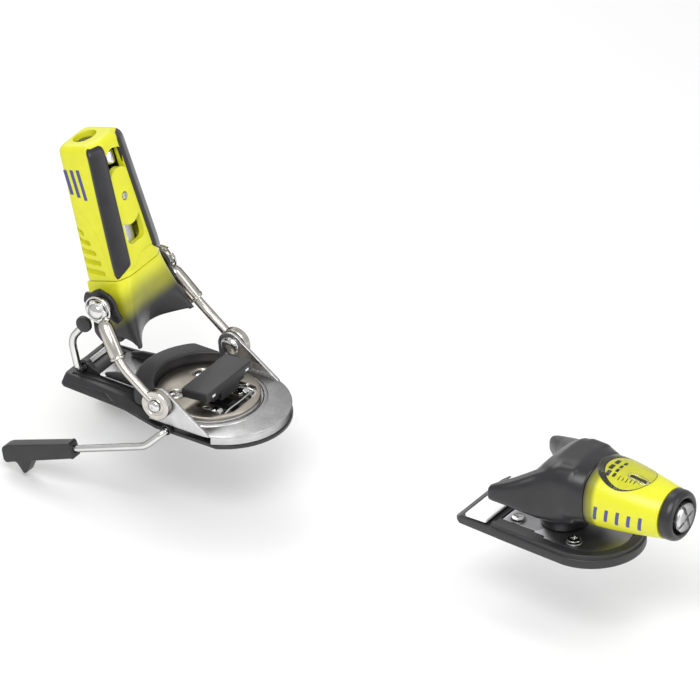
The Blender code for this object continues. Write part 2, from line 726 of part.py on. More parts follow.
def heel_shell(body):
    shell = tapered_box("heel_housing", SHELL_BOTTOM, SHELL_TOP,
                        (SHELL_DEPTH, SHELL_WIDTH_BOTTOM), (SHELL_DEPTH - 1.0, SHELL_WIDTH_TOP))
    bevel(shell, 3.5, 3)
    hollow = tapered_box("hollow_tool", SHELL_BOTTOM - 5.0, SHELL_TOP - WALL,
                         (SHELL_DEPTH - 2 * WALL, SHELL_WIDTH_BOTTOM - 2 * WALL),
                         (SHELL_DEPTH - 1.0 - 2 * WALL, SHELL_WIDTH_TOP - 2 * WALL))
    cut(shell, hollow, body, True)
    for name, half, low, high in WINDOWS:
        cut(shell, box(f"{name}_window_tool", (10.0, -half, low), (20.0, half, high)), body, True)
    cut(shell, cylinder("screw_tool", 2.7, 9.0, 20.0, (0.0, FACE_SCREW_Z), "X", 16), body, True)
    cut(shell, cylinder("top_bore_tool", 6.8, SHELL_TOP - 10.0, SHELL_TOP + 5.0,
                        (SPRING_AXIS, 0.0), segments=28), body, True)
    for side, sign in SIDES:
        cut(shell, corner_strip("strip_tool", sign, GAP), body, True)
        strip = bevel(corner_strip(f"corner_guard_{side}", sign, 0.0), 1.3)
        finish(strip, DARK, body, True)
    for i in range(5):
        low = RIB_LOW + RIB_STEP * i
        for side, sign in SIDES:
            y = sign * (shell_width(low) / 2)
            groove = box("groove_tool", (-13.0, y - 1.0, low), (-4.0, y + 1.0, low + 2.4))
            cut(shell, groove, body, True)
    return finish(shell, YELLOW, body, True)


def jaw_edges(count):
    """Top and bottom edges of the jaw's wrap, in the housing's frame."""
    top = []
    bottom = []
    half_top = SHELL_WIDTH_BOTTOM / 2 - 1.6
    key = ((-13.0, 26.0, -8.0), (-4.0, 27.0, -17.0), (4.0, 28.0, -22.3), (11.3, 28.8, -23.8),
           (17.5, 29.6, -27.0), (20.4, 30.0, -28.2), (18.4, 25.0, -27.7), (11.7, 15.0, -25.9),
           (8.2, 7.5, -24.9), (6.9, 0.0, -24.6))
    turn = Matrix.Rotation(JAW_TURN, 3, "Y")
    path = [turn @ Vector(point) for point in key]
    steps = len(path) - 1
    for i in range(count + 1):
        t = i / count
        place = t * steps
        index = min(int(place), steps - 1)
        bottom.append(path[index].lerp(path[index + 1], place - index))
        if t < 0.5:
            top.append(Vector((-13.0 + 26.4 * t / 0.5, half_top, SHELL_BOTTOM - 0.4)))
        else:
            s = (t - 0.5) / 0.5
            top.append(Vector((13.4, half_top * (1.0 - s), SHELL_BOTTOM - 0.4)))
    top += [Vector((p.x, -p.y, p.z)) for p in reversed(top[:-1])]
    bottom += [Vector((p.x, -p.y, p.z)) for p in reversed(bottom[:-1])]
    return top, bottom


def heel_jaw(body):
    top, bottom = jaw_edges(9)
    levels = 3
    bm = bmesh.new()
    rows = []
    for level in range(levels + 1):
        t = level / levels
        row = []
        for high, low in zip(top, bottom):
            point = high.lerp(low, t)
            point.x -= 1.6 * math.sin(math.pi * t)
            point.y += math.copysign(2.0, point.y) * math.sin(math.pi * t) * abs(point.y) / 30.0
            row.append(bm.verts.new(point * MM))
        rows.append(row)
    for upper, lower in zip(rows, rows[1:]):
        for i in range(len(upper) - 1):
            bm.faces.new((upper[i], upper[i + 1], lower[i + 1], lower[i]))
    jaw = mesh_object("heel_jaw", bm)
    solid = jaw.modifiers.new("wall", "SOLIDIFY")
    solid.thickness = 3.0 * MM
    solid.offset = -1.0
    cut(jaw, cylinder("jaw_axle_tool", AXLE_R + GAP, -60.0, 60.0, (0.0, 0.0), "Y", 24),
        body, True)
    return finish(jaw, YELLOW, body, True)


def hub_guards(body):
    outline = arc((0.0, 0.0), 14.4, -60.0, -38.0, 4)
    outline += arc((0.0, 0.0), 9.2, -15.0, 60.0, 6)
    outline += arc((0.0, 0.0), 10.8, 92.0, 128.0, 4)
    outline += arc((0.0, 0.0), 14.4, 138.0, 168.0, 4)
    outline += arc((0.0, 0.0), 9.2, 200.0, 290.0, 8)
    for side, sign in SIDES:
        guard = plate(f"hub_guard_{side}", outline, 28.9, 30.9, upright_y=sign)
        cut(guard, cylinder("guard_axle_tool", AXLE_R + GAP, -60.0, 60.0, (0.0, 0.0), "Y", 24),
            body, True)
        finish(guard, DARK, body, True)


def housing_inner(body, adjuster, indicator):
    block = box("cam_block", (-16.0, -14.0, -33.0), (-7.5, 14.0, -9.0))
    bevel(block, 1.2)
    finish(block, BLACK, body, True)
    axis = (SPRING_AXIS, 0.0, 0.0)
    spring = coil("release_spring", (SPRING_AXIS, 0.0, SPRING_LOW), 7.4, 1.3, 6, SPRING_LENGTH)
    finish(spring, STEEL, body, True)
    cup = [(0.0, 30.0), (5.4, 30.0), (5.4, 25.2), (8.8, 25.2), (8.8, 19.5), (0.0, 19.5)]
    finish(turned("spring_plunger", cup, axis, steps=24), STEEL, body, True)
    finish(turned("housing_screw", [(0.0, 8.0), (1.2, 8.0), (1.3, 8.6), (2.2, 8.6), (2.4, 8.0),
                                    (2.4, 6.4), (1.4, 6.4), (1.4, 0.0), (0.0, 0.0)],
                  (7.2, 0.0, FACE_SCREW_Z), "X", steps=20), STEEL, body, True)
    head = turned("heel_adjuster", [(0.0, 0.0), (0.9, 0.0), (0.9, 2.0), (6.2, 2.0), (6.2, -0.6),
                                    (2.5, -0.6), (2.5, -20.0), (0.0, -20.0)],
                  (0.0, 0.0, 0.0), steps=24)
    cut(head, box("slot_tool", (-5.0, -0.8, 0.4), (5.0, 0.8, 5.0)), adjuster, True)
    finish(head, STEEL, adjuster, True)
    nut = box("heel_indicator", (-6.5, -6.4, -4.5), (16.2, 6.4, 4.5))
    bevel(nut, 0.8)
    cut(nut, cylinder("thread_tool", 2.8, -10.0, 10.0, (0.0, 0.0), segments=12),
        indicator, True)
    finish(nut, SILVER, indicator, True)


# ---------------------------------------------------------------- toe unit, fixed

def toe_base():
    front = arc((TOE_ARC_X, 0.0), TOE_ARC_R, 0.0, 90.0, 16)
    outline = mirrored(front + [(TOE_REAR + 40.0, 31.0), (TOE_REAR + 4.0, 28.0),
                                (TOE_REAR, 25.0)])
    base = plate("toe_base", outline, 0.0, TOE_BASE_TOP)
    ramp = box("ramp_tool", (TOE_REAR - 8.0, -50.0, 3.0), (TOE_REAR + 5.0, 50.0, 12.0),
               Matrix.Rotation(math.radians(-32.0), 4, "Y"))
    cut(base, ramp)
    for x, y in TOE_SCREWS:
        for sign in (-1, 1):
            cut(base, cylinder("hole_tool", 2.6, -2.0, 12.0, (x, sign * y), segments=12))
    return finish(base, BLACK)


def toe_plate():
    front = arc((TOE_ARC_X, 0.0), 26.0, 0.0, 90.0, 14)
    outline = mirrored(front + [(255.0, 24.0), (230.0, 21.0)])
    base = plate("toe_plate", outline, TOE_BASE_TOP + GAP, TOE_BASE_TOP + 2.3)
    cut(base, cylinder("post_tool", 7.6, 0.0, 20.0, (POST_X, 0.0), segments=32))
    for x, y in TOE_SCREWS:
        for sign in (-1, 1):
            cut(base, cylinder("hole_tool", 2.5, -2.0, 12.0, (x, sign * y), segments=12))
    return finish(base, STEEL)


def toe_fixed():
    toe_base()
    toe_plate()
    number = 1
    for x, y in TOE_SCREWS:
        for sign in (-1, 1):
            countersunk_screw(f"toe_screw_{number}", x, sign * y, TOE_BASE_TOP + 4.7, 4.2, 0.4)
            number += 1
    foot = TOE_BASE_TOP + 2.6
    post = [(0.0, 33.0), (5.6, 33.0), (6.0, 32.6), (6.0, 19.5), (13.5, 19.5), (15.0, 18.0),
            (15.0, foot), (7.2, foot), (7.2, 6.4), (0.0, 6.4)]
    finish(turned("toe_post", post, (POST_X, 0.0, 0.0), steps=28), STEEL)
    rail = box("afd_rail", (AFD_X - 4.0, -24.0, TOE_BASE_TOP + GAP), (AFD_X + 4.0, 24.0, 7.0))
    finish(rail, STEEL)


def afd_slider():
    body = body_empty("afd", AFD_X, 7.5)
    pad = box("afd_pad", (AFD_X - 7.8, -29.0, 7.3), (AFD_X + 7.8, 29.0, 9.6))
    bevel(pad, 0.9)
    finish(pad, WHITE, body)


# ---------------------------------------------------------------- toe unit, swinging

def toe_cowl(body):
    rings = []
    for x, half_y, low, high, power in ((243.0, 15.0, 29.0, 50.0, 0.6),
                                        (250.0, 21.0, 25.5, 57.0, 0.6),
                                        (264.0, 25.0, 23.0, 61.0, 0.65),
                                        (280.0, 25.5, 21.0, 62.0, 0.7),
                                        (HEAD_REAR - GAP, 23.8, 20.0, 61.0, 0.75)):
        rings.append(superellipse((x, 0.0, (low + high) / 2), half_y, (high - low) / 2,
                                  power, 24))
    cowl = loft("toe_cowl", rings)
    for side, sign in SIDES:
        wing = []
        for x, y, z, half_y, half_z in ((229.0, 34.5, 36.0, 2.0, 4.0),
                                        (232.0, 34.0, 37.0, 4.0, 6.6),
                                        (242.0, 29.5, 41.0, 6.5, 10.5),
                                        (256.0, 20.0, 43.0, 10.0, 14.0),
                                        (270.0, 13.0, 42.0, 9.0, 15.0)):
            wing.append(superellipse((x, sign * y, z), half_y, half_z, 0.8, 12))
        join(cowl, loft("wing_tool", wing), body)
    cut(cowl, cylinder("post_tool", 6.0 + GAP, 0.0, 36.0, (POST_X, 0.0), segments=28), body)
    cut(cowl, cylinder("bore_tool", 13.0, 276.0, 300.0, (0.0, HEAD_Z), "X", 32), body)
    return finish(cowl, BLACK, body)


def toe_housing(body):
    rings = []
    for x, half_y, half_z, z, power in ((HEAD_REAR, 23.4, 20.4, 40.4, 0.78),
                                        (303.0, 22.8, 19.8, 40.3, 0.8),
                                        (320.0, 21.0, 18.4, 40.2, 0.85),
                                        (336.0, 18.4, 17.0, 40.0, 0.95),
                                        (HEAD_FRONT - 1.0, 16.8, 16.4, HEAD_Z, 1.0)):
        rings.append(superellipse((x, 0.0, z), half_y, half_z, power, 24))
    head = loft("toe_housing", rings)
    cut(head, cylinder("bore_tool", 13.0, 280.0, 339.0, (0.0, HEAD_Z), "X", 32), body)
    cut(head, cylinder("nose_tool", 10.2, 330.0, 350.0, (0.0, HEAD_Z), "X", 32), body)
    window = plate("window_tool", [(306.0 + 9.0 * math.cos(a), 9.0 * math.sin(a))
                                   for a in [math.tau * i / 24 for i in range(24)]],
                   45.0, 70.0)
    cut(head, window, body)
    return finish(head, YELLOW, body)


def toe_lens(body):
    half = 8.6
    lens = cylinder("toe_window", half, 54.0, 58.6, (306.0, 0.0), segments=24)
    bevel(lens, 0.5)
    return finish(lens, CLEAR, body)


def toe_inner(body, adjuster, indicator):
    spring = coil("toe_spring", (283.0, 0.0, HEAD_Z), 8.6, 1.4, 5, 26.0, "X")
    finish(spring, STEEL, body)
    plunger = [(0.0, 281.0), (11.6, 281.0), (11.6, 277.5), (0.0, 277.5)]
    finish(turned("toe_plunger", plunger, (0.0, 0.0, HEAD_Z), "X", steps=24), STEEL, body)
    ring = [(11.4, 350.0), (14.4, 349.6), (16.4, 347.6), (16.5, HEAD_FRONT - 0.6),
            (11.4, HEAD_FRONT - 0.6)]
    finish(turned("toe_end_ring", ring, (0.0, 0.0, HEAD_Z), "X", steps=28), DARK, body)
    screw = turned("toe_adjuster", [(0.0, 352.4), (7.2, 352.4), (9.7, 350.8), (9.7, 340.0),
                                    (3.0, 340.0), (3.0, 316.0), (0.0, 316.0)],
                   (0.0, 0.0, HEAD_Z), "X", steps=32)
    cut(screw, box("slot_tool", (350.6, -11.0, HEAD_Z - 0.9), (354.0, 11.0, HEAD_Z + 0.9)),
        adjuster)
    cut(screw, box("slot_tool", (350.6, -0.9, HEAD_Z - 11.0), (354.0, 0.9, HEAD_Z + 11.0)),
        adjuster)
    finish(screw, STEEL, adjuster)
    nut = cylinder("toe_indicator", 11.6, 317.0, 325.0, (0.0, HEAD_Z), "X", 24)
    cut(nut, cylinder("thread_tool", 3.3, 310.0, 330.0, (0.0, HEAD_Z), "X", 20), indicator)
    finish(nut, SILVER, indicator)


# ---------------------------------------------------------------- assembly

def stirrup_body(body):
    legs = [(STIRRUP_TOP[0], -28.6, STIRRUP_TOP[1]),
            (STIRRUP_TOP[0], -STIRRUP_HALF, STIRRUP_TOP[1]),
            (STIRRUP_BEND[0], -STIRRUP_HALF, STIRRUP_BEND[1]),
            (STIRRUP_X, -STIRRUP_HALF, STIRRUP_Z)]
    path = legs + [(x, -y, z) for x, y, z in reversed(legs)]
    finish(wire("stirrup", fillet(path, 4.5, 3), STIRRUP_R), NICKEL, body)


def stirrup_knobs(body):
    ring = [(5.3, 28.2), (5.3, 25.0), (2.75, 25.0), (2.75, 28.2)]
    for side, sign in SIDES:
        knob = turned(f"stirrup_roller_{side}", ring,
                      (STIRRUP_TOP[0], 0.0, STIRRUP_TOP[1]), "Y", flip=sign < 0, steps=24)
        finish(knob, BLACK, body)


def build_heel():
    heel_base()
    heel_disc()
    glide_ring()
    heel_screws()
    brake_bodies()
    turntable = body_empty("turntable", 0.0, 0.0)
    turntable_plate(turntable)
    heel_pad(turntable)
    tail_clip(turntable)
    ear_pins(turntable)
    arm_body = body_empty("arms", EAR_X, EAR_Z)
    arms(arm_body)
    stirrup = body_empty("stirrup_axis", STIRRUP_X, STIRRUP_Z)
    stirrup_body(stirrup)
    rollers = body_empty("stirrup_rollers", STIRRUP_TOP[0], STIRRUP_TOP[1])
    stirrup_knobs(rollers)
    housing = body_empty("housing", HUB_X, HUB_Z, lean=LEAN)
    adjuster = body_empty("heel_adjuster_axis", SPRING_AXIS, ADJUSTER_Z)
    indicator = body_empty("heel_indicator_axis", SPRING_AXIS, INDICATOR_Z)
    adjuster.parent = housing
    indicator.parent = housing
    heel_shell(housing)
    heel_jaw(housing)
    hub_guards(housing)
    housing_inner(housing, adjuster, indicator)


def build_toe():
    toe_fixed()
    afd_slider()
    head = body_empty("toe_head", POST_X, 0.0)
    adjuster = body_empty("toe_adjuster_axis", HEAD_FRONT, HEAD_Z)
    indicator = body_empty("toe_indicator_axis", 321.0, HEAD_Z)
    toe_cowl(head)
    toe_housing(head)
    toe_lens(head)
    toe_inner(head, adjuster, indicator)


clear_scene()
build_heel()
build_toe()
bpy.context.view_layer.update()
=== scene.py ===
"""Looks of the ski binding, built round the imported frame.

Lengths are in millimetres, angles in degrees.  X runs to the front of the ski, Y to its left and Z up.
"""
import json
from math import atan2, copysign, cos, degrees, exp, pi, radians, sin, sqrt, tan, tau

import bmesh
import bpy
from mathutils import Matrix, Vector


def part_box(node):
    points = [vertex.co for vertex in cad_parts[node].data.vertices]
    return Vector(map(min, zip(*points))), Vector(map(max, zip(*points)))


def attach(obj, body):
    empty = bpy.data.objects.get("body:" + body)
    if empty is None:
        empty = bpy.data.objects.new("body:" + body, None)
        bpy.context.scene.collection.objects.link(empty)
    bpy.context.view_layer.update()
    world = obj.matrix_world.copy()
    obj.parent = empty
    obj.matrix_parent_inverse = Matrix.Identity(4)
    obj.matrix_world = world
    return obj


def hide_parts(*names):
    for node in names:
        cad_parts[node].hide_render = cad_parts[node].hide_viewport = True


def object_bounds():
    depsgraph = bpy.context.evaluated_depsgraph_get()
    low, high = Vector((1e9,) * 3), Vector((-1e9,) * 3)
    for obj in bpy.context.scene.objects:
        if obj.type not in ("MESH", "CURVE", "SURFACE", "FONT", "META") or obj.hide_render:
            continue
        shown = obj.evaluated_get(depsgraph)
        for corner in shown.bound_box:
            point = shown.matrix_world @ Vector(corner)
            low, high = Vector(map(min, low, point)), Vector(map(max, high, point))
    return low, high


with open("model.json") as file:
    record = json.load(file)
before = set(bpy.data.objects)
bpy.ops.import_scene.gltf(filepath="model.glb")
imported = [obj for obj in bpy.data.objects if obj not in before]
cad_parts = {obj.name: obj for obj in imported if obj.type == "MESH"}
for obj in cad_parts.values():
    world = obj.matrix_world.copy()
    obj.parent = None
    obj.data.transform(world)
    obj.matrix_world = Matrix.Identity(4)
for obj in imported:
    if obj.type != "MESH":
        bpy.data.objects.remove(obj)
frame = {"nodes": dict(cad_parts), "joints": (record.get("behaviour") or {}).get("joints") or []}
CAD_BOX = [list(corner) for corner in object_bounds()]

MM = 0.001
ALONG, ACROSS, UP = (1, 0, 0), (0, 1, 0), (0, 0, 1)
SIDES = (("right", -1), ("left", 1))
JOINTS = {joint["name"]: joint for joint in frame["joints"]}


def low(node):
    """Lowest corner of a CAD node, in millimetres."""
    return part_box(node)[0] / MM


def high(node):
    """Highest corner of a CAD node, in millimetres."""
    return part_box(node)[1] / MM


def joint_place(name):
    return Vector(JOINTS[name]["pos_m"]) / MM


EAR = joint_place("arm_hinge")
HUB = joint_place("housing_hinge")
STIRRUP_FOOT = joint_place("stirrup_hinge")
STIRRUP_HEAD = joint_place("roller_spin")
BRAKE = joint_place("brake_swing")
PEDAL = joint_place("pedal_tilt")
POST = joint_place("toe_swing")
HEAD = joint_place("toe_adjust")
POST_FOOT = (POST.x, 0, 0)
NOSE_LINE = (0, 0, HEAD.z)
LEAN_AXIS = Vector(JOINTS["heel_adjust"]["axis"])
LEAN = atan2(-LEAN_AXIS.x, LEAN_AXIS.z)
# pieces on these bodies are drawn upright about the hub axle, then leaned back
HOUSING_BODIES = ("housing", "heel_adjuster", "heel_indicator")
HOUSING_FRAME = Matrix.Translation(HUB * MM) @ Matrix.Rotation(-LEAN, 4, "Y")


# --- materials

class Surface:
    """A material whose shader nodes are added one by one."""

    def __init__(self, name, colour, roughness, metallic=0):
        self.material = bpy.data.materials.new(name)
        self.material.use_nodes = True
        self.tree = self.material.node_tree
        self.shader = self.tree.nodes["Principled BSDF"]
        self.set("Base Color", (*colour, 1))
        self.set("Roughness", roughness)
        self.set("Metallic", metallic)

    def feed(self, socket, value):
        """Give a socket a value or another node's output."""
        if isinstance(value, bpy.types.NodeSocket):
            self.tree.links.new(value, socket)
        else:
            socket.default_value = value

    def set(self, name, value):
        self.feed(self.shader.inputs[name], value)

    def node(self, kind, output, inputs, **settings):
        """Add a node, set it up and return one of its outputs."""
        node = self.tree.nodes.new("ShaderNode" + kind)
        for name, value in settings.items():
            setattr(node, name, value)
        for key, value in inputs.items():
            self.feed(node.inputs[key], value)
        return node.outputs[output]

    def noise(self, scale, detail=3, stretch=(1, 1, 1)):
        """Noise in the piece's own coordinates; scale is in cycles per metre."""
        place = self.node("TexCoord", "Object", {})
        place = self.node("Mapping", "Vector", {"Vector": place, "Scale": stretch})
        return self.node("TexNoise", "Fac", {"Vector": place, "Scale": scale, "Detail": detail})

    def ramp(self, source, *stops, interpolation="LINEAR"):
        """Map a value through (position, grey or colour) stops."""
        node = self.tree.nodes.new("ShaderNodeValToRGB")
        node.color_ramp.interpolation = interpolation
        elements = node.color_ramp.elements
        while len(elements) < len(stops):
            elements.new(0.5)
        for element, (position, value) in zip(elements, stops):
            element.position = position
            element.color = (*value, 1) if isinstance(value, tuple) else (value, value, value, 1)
        self.feed(node.inputs["Fac"], source)
        return node.outputs[0]

    def mix(self, factor, first, second):
        """Mix two colours by a socket; each may be a socket or an RGB tuple."""
        pair = [(*value, 1) if isinstance(value, tuple) else value for value in (first, second)]
        return self.node("Mix", 2, {0: factor, 6: pair[0], 7: pair[1]}, data_type="RGBA")

    def edges(self, radius_mm):
        """1 along edges tighter than the radius, 0 on flat faces."""
        bevel = self.node("Bevel", "Normal", {"Radius": radius_mm * MM}, samples=4)
        face = self.node("NewGeometry", "Normal", {})
        dot = self.node("VectorMath", "Value", {0: bevel, 1: face}, operation="DOT_PRODUCT")
        return self.node("Math", "Value", {0: dot, 1: -5, 2: 5}, operation="MULTIPLY_ADD",
            use_clamp=True)

    def roughen(self, source, low, high):
        """Drive the roughness by a source, from a low to a high (position, value)."""
        self.set("Roughness", self.ramp(source, low, high))

    def bump(self, source, depth_mm):
        """Bump from a height source over softly rounded edges."""
        soft = self.node("Bevel", "Normal", {"Radius": 0.25 * MM}, samples=4)
        inputs = {"Strength": 1, "Distance": depth_mm * MM, "Height": source, "Normal": soft}
        self.set("Normal", self.node("Bump", "Normal", inputs))


def scaled(colour, factor, lift=0):
    return tuple(min(1, c * factor + lift) for c in colour)


def plastic(name, colour, roughness, grain=2600, depth=0.012, wear=0.12, tint=0.05):
    """Moulded plastic: fine grain, faint mottling and paler, polished edges."""
    surface = Surface(name, colour, roughness)
    fine = surface.noise(grain, 2)
    broad = surface.noise(90)
    mottled = surface.mix(surface.ramp(broad, (0.3, 0), (0.7, 1)), scaled(colour, 1 - tint),
        scaled(colour, 1 + tint, tint * 0.02))
    surface.set("Base Color", surface.mix(surface.edges(0.7), mottled, scaled(colour, 1, wear)))
    surface.roughen(broad, (0.25, roughness - 0.05), (0.75, roughness + 0.06))
    surface.bump(fine, depth)
    return surface.material


def metal(name, colour, roughness, stretch=(1, 1, 1), depth=0.006, stain=0.12):
    """Plated or brushed metal: micro-scratches, faint staining and painted shade that darkens the
    colour at grazing view angles.
    """
    surface = Surface(name, colour, roughness, 1)
    brushed = surface.noise(700, 4, stretch)
    stained = surface.ramp(surface.noise(120, 4), (0.3, scaled(colour, 1 - stain)),
        (0.7, scaled(colour, 1 + stain * 0.5)))
    worn = surface.mix(surface.edges(0.4), stained, (0.92, 0.92, 0.9))
    # painted shade: the colour is darkened towards grazing view angles, standing in for dark
    # reflections
    facing = surface.node("LayerWeight", "Facing", {"Blend": 0.5})
    rim = surface.ramp(facing, (0.3, 0), (0.85, 0.8))
    surface.set("Base Color", surface.mix(rim, worn, scaled(colour, 0.16)))
    surface.set("Specular Tint", (0.2, 0.2, 0.2, 1))
    surface.roughen(brushed, (0.2, max(0.03, roughness - 0.09)), (0.8, roughness + 0.1))
    surface.bump(brushed, depth)
    return surface.material


def fading_plastic(name, colour, end_colour, start, end, roughness):
    """Plastic that fades to a second colour between two points in the piece's coordinates."""
    surface = Surface(name, colour, roughness)
    start = Vector(start) * MM
    along = Vector(end) * MM - start
    place = surface.node("TexCoord", "Object", {})
    offset = surface.node("VectorMath", "Vector", {0: place, 1: start}, operation="SUBTRACT")
    share = surface.node("VectorMath", "Value", {0: offset, 1: along / along.length_squared},
        operation="DOT_PRODUCT")
    middle = tuple(c * 0.42 + d * 0.3 for c, d in zip(colour, end_colour))
    fade = surface.ramp(share, (0, colour), (0.55, middle), (1, end_colour), interpolation="EASE")
    fine = surface.noise(2600, 2)
    broad = surface.noise(90)
    patches = surface.ramp(broad, (0.3, 0), (0.8, 0.1))
    surface.set("Base Color", surface.mix(patches, fade, end_colour))
    surface.roughen(broad, (0.25, roughness - 0.04), (0.75, roughness + 0.06))
    surface.bump(fine, 0.01)
    return surface.material


def clear_plastic(name, colour):
    surface = Surface(name, colour, 0.06)
    surface.set("Transmission Weight", 1)
    surface.set("IOR", 1.2)
    scuffs = surface.noise(500, 5, (1, 6, 1))
    surface.roughen(scuffs, (0.4, 0.03), (0.8, 0.16))
    surface.bump(scuffs, 0.002)
    return surface.material


YELLOW_RGB = (0.70, 0.70, 0.022)
BLACK_RGB = (0.021, 0.021, 0.023)
YELLOW = plastic("neon_yellow", YELLOW_RGB, 0.34, depth=0.006, wear=0.04, tint=0.03)
BLACK = plastic("moulded_black", BLACK_RGB, 0.42, wear=0.05, tint=0.12)
DARK = plastic("smooth_black", (0.016, 0.016, 0.018), 0.32, grain=3200, depth=0.006, wear=0.05)
WHITE = plastic("slide_white", (0.9, 0.9, 0.9), 0.35, depth=0.006, wear=0.02, tint=0.02)
NAVY = plastic("navy_print", (0.06, 0.065, 0.24), 0.4, depth=0.004, wear=0.02, tint=0.08)
SILVER = metal("satin_silver", (0.62, 0.62, 0.62), 0.3, (1, 8, 1))
NICKEL = metal("nickel_plate", (0.64, 0.61, 0.56), 0.22, (3, 1, 3), depth=0.003)
CHROME = metal("bright_chrome", (0.76, 0.76, 0.75), 0.12, depth=0.001, stain=0.05)
CHAMPAGNE = metal("champagne_disc", (0.60, 0.55, 0.48), 0.34, (6, 1, 1), depth=0.004)
STEEL = metal("zinc_steel", (0.46, 0.46, 0.47), 0.36, (1, 5, 1), depth=0.005)
CLEAR = clear_plastic("clear_window", (0.97, 0.97, 0.9))


# --- mesh helpers

def add_object(name, mesh):
    obj = bpy.data.objects.new(name, mesh)
    bpy.context.scene.collection.objects.link(obj)
    return obj


def from_bmesh(name, bm):
    bmesh.ops.recalc_face_normals(bm, faces=bm.faces)
    mesh = bpy.data.meshes.new(name)
    bm.to_mesh(mesh)
    bm.free()
    return add_object(name, mesh)


def evaluated_mesh(obj):
    bpy.context.view_layer.update()
    evaluated = obj.evaluated_get(bpy.context.evaluated_depsgraph_get())
    return bpy.data.meshes.new_from_object(evaluated)


def baked(obj):
    """The object with every modifier applied."""
    mesh = evaluated_mesh(obj)
    obj.modifiers.clear()
    obj.data = mesh
    return obj


def boolean(obj, operation, tools):
    for tool in tools:
        modifier = obj.modifiers.new("shape", "BOOLEAN")
        modifier.operation = operation
        modifier.solver = "EXACT"
        modifier.object = tool
    baked(obj)
    for tool in tools:
        bpy.data.objects.remove(tool, do_unlink=True)
    return obj


def cut(obj, *tools):
    return boolean(obj, "DIFFERENCE", tools)


def join(obj, *tools):
    return boolean(obj, "UNION", tools)


def rounded(obj, width, segments=3, angle=35):
    modifier = obj.modifiers.new("round", "BEVEL")
    modifier.width = width * MM
    modifier.segments = segments
    modifier.limit_method = "ANGLE"
    modifier.angle_limit = radians(angle)
    return baked(obj)


def moved(obj, matrix):
    obj.data.transform(matrix)
    return obj


def about(centre, angle, axis):
    """A turn by an angle in degrees about an axis through a point in millimetres."""
    place = Matrix.Translation(Vector(centre) * MM)
    return place @ Matrix.Rotation(radians(angle), 4, axis) @ place.inverted()


def turn_to(axis):
    """The turn that takes straight up to an axis."""
    return Vector(UP).rotation_difference(Vector(axis)).to_matrix()


def prism(name, outline, bottom, top, axis="Z"):
    """An outline in the plane across an axis, thick from bottom to top along it."""
    order = {"Z": (0, 1, 2), "Y": (0, 2, 1), "X": (2, 0, 1)}[axis]
    return loft(name,
        [[[(a, b, level)[i] for i in order] for a, b in outline] for level in (bottom, top)])


def side_prism(name, outline, sign, inner, outer):
    """A plate across Y on one side of the part, between two distances from its middle."""
    return prism(name, outline, *sorted((sign * inner, sign * outer)), "Y")


def corners(bottom, top):
    """The four corners between two opposite ones."""
    return [(bottom[0], bottom[1]), (top[0], bottom[1]), (top[0], top[1]), (bottom[0], top[1])]


def block(name, bottom, top):
    return prism(name, corners(bottom, top), bottom[2], top[2])


def bridge(bm, first, second):
    """Faces between two closed rows of vertices; either row may be a single point."""
    count = max(len(first), len(second))
    for i in range(count):
        j = (i + 1) % count
        around = (first[i % len(first)], first[j % len(first)], second[j % len(second)],
            second[i % len(second)])
        bm.faces.new(list(dict.fromkeys(around)))


def loft(name, rings):
    """A closed solid through rings of equal point counts."""
    bm = bmesh.new()
    rows = [[bm.verts.new(Vector(point) * MM) for point in ring] for ring in rings]
    for first, second in zip(rows, rows[1:]):
        bridge(bm, first, second)
    bm.faces.new(rows[0])
    bm.faces.new(rows[-1])
    return from_bmesh(name, bm)


def lathe(name, profile, centre=(0, 0, 0), axis=UP, steps=72):
    """A profile of (radius, height) turned about an axis; open profiles make a ring."""
    bm = bmesh.new()
    turn = turn_to(axis)
    rows = []
    for radius, height in profile:
        row = []
        for i in range(steps if radius > 0.001 else 1):
            angle = tau * i / steps
            local = Vector((radius * cos(angle), radius * sin(angle), height))
            row.append(bm.verts.new((Vector(centre) + turn @ local) * MM))
        rows.append(row)
    pairs = list(zip(rows, rows[1:]))
    if len(rows[0]) > 1 and len(rows[-1]) > 1:
        pairs.append((rows[-1], rows[0]))
    for first, second in pairs:
        bridge(bm, first, second)
    return from_bmesh(name, bm)


def drill(radius, bottom, top, centre=(0, 0, 0), axis=UP, steps=40):
    """A plain cylinder to cut a bore with."""
    profile = [(0, top), (radius, top), (radius, bottom), (0, bottom)]
    return lathe("bore", profile, centre, axis, steps)


def tube(name, points, radius, sides=5):
    """A round wire along points."""
    curve = bpy.data.curves.new(name, "CURVE")
    curve.dimensions = "3D"
    curve.bevel_depth = radius * MM
    curve.bevel_resolution = sides
    curve.use_fill_caps = True
    spline = curve.splines.new("POLY")
    spline.points.add(len(points) - 1)
    for target, point in zip(spline.points, points):
        target.co = (*(Vector(point) * MM), 1)
    source = add_object(name + "_curve", curve)
    mesh = evaluated_mesh(source)
    bpy.data.objects.remove(source, do_unlink=True)
    bm = bmesh.new()
    bm.from_mesh(mesh)
    bmesh.ops.remove_doubles(bm, verts=bm.verts, dist=0.000001)
    return from_bmesh(name, bm)


def arc(centre, radius, start, end, steps):
    """Points on an arc, angles in degrees."""
    points = []
    for i in range(steps + 1):
        angle = radians(start + (end - start) * i / steps)
        points.append((centre[0] + radius * cos(angle), centre[1] + radius * sin(angle)))
    return points


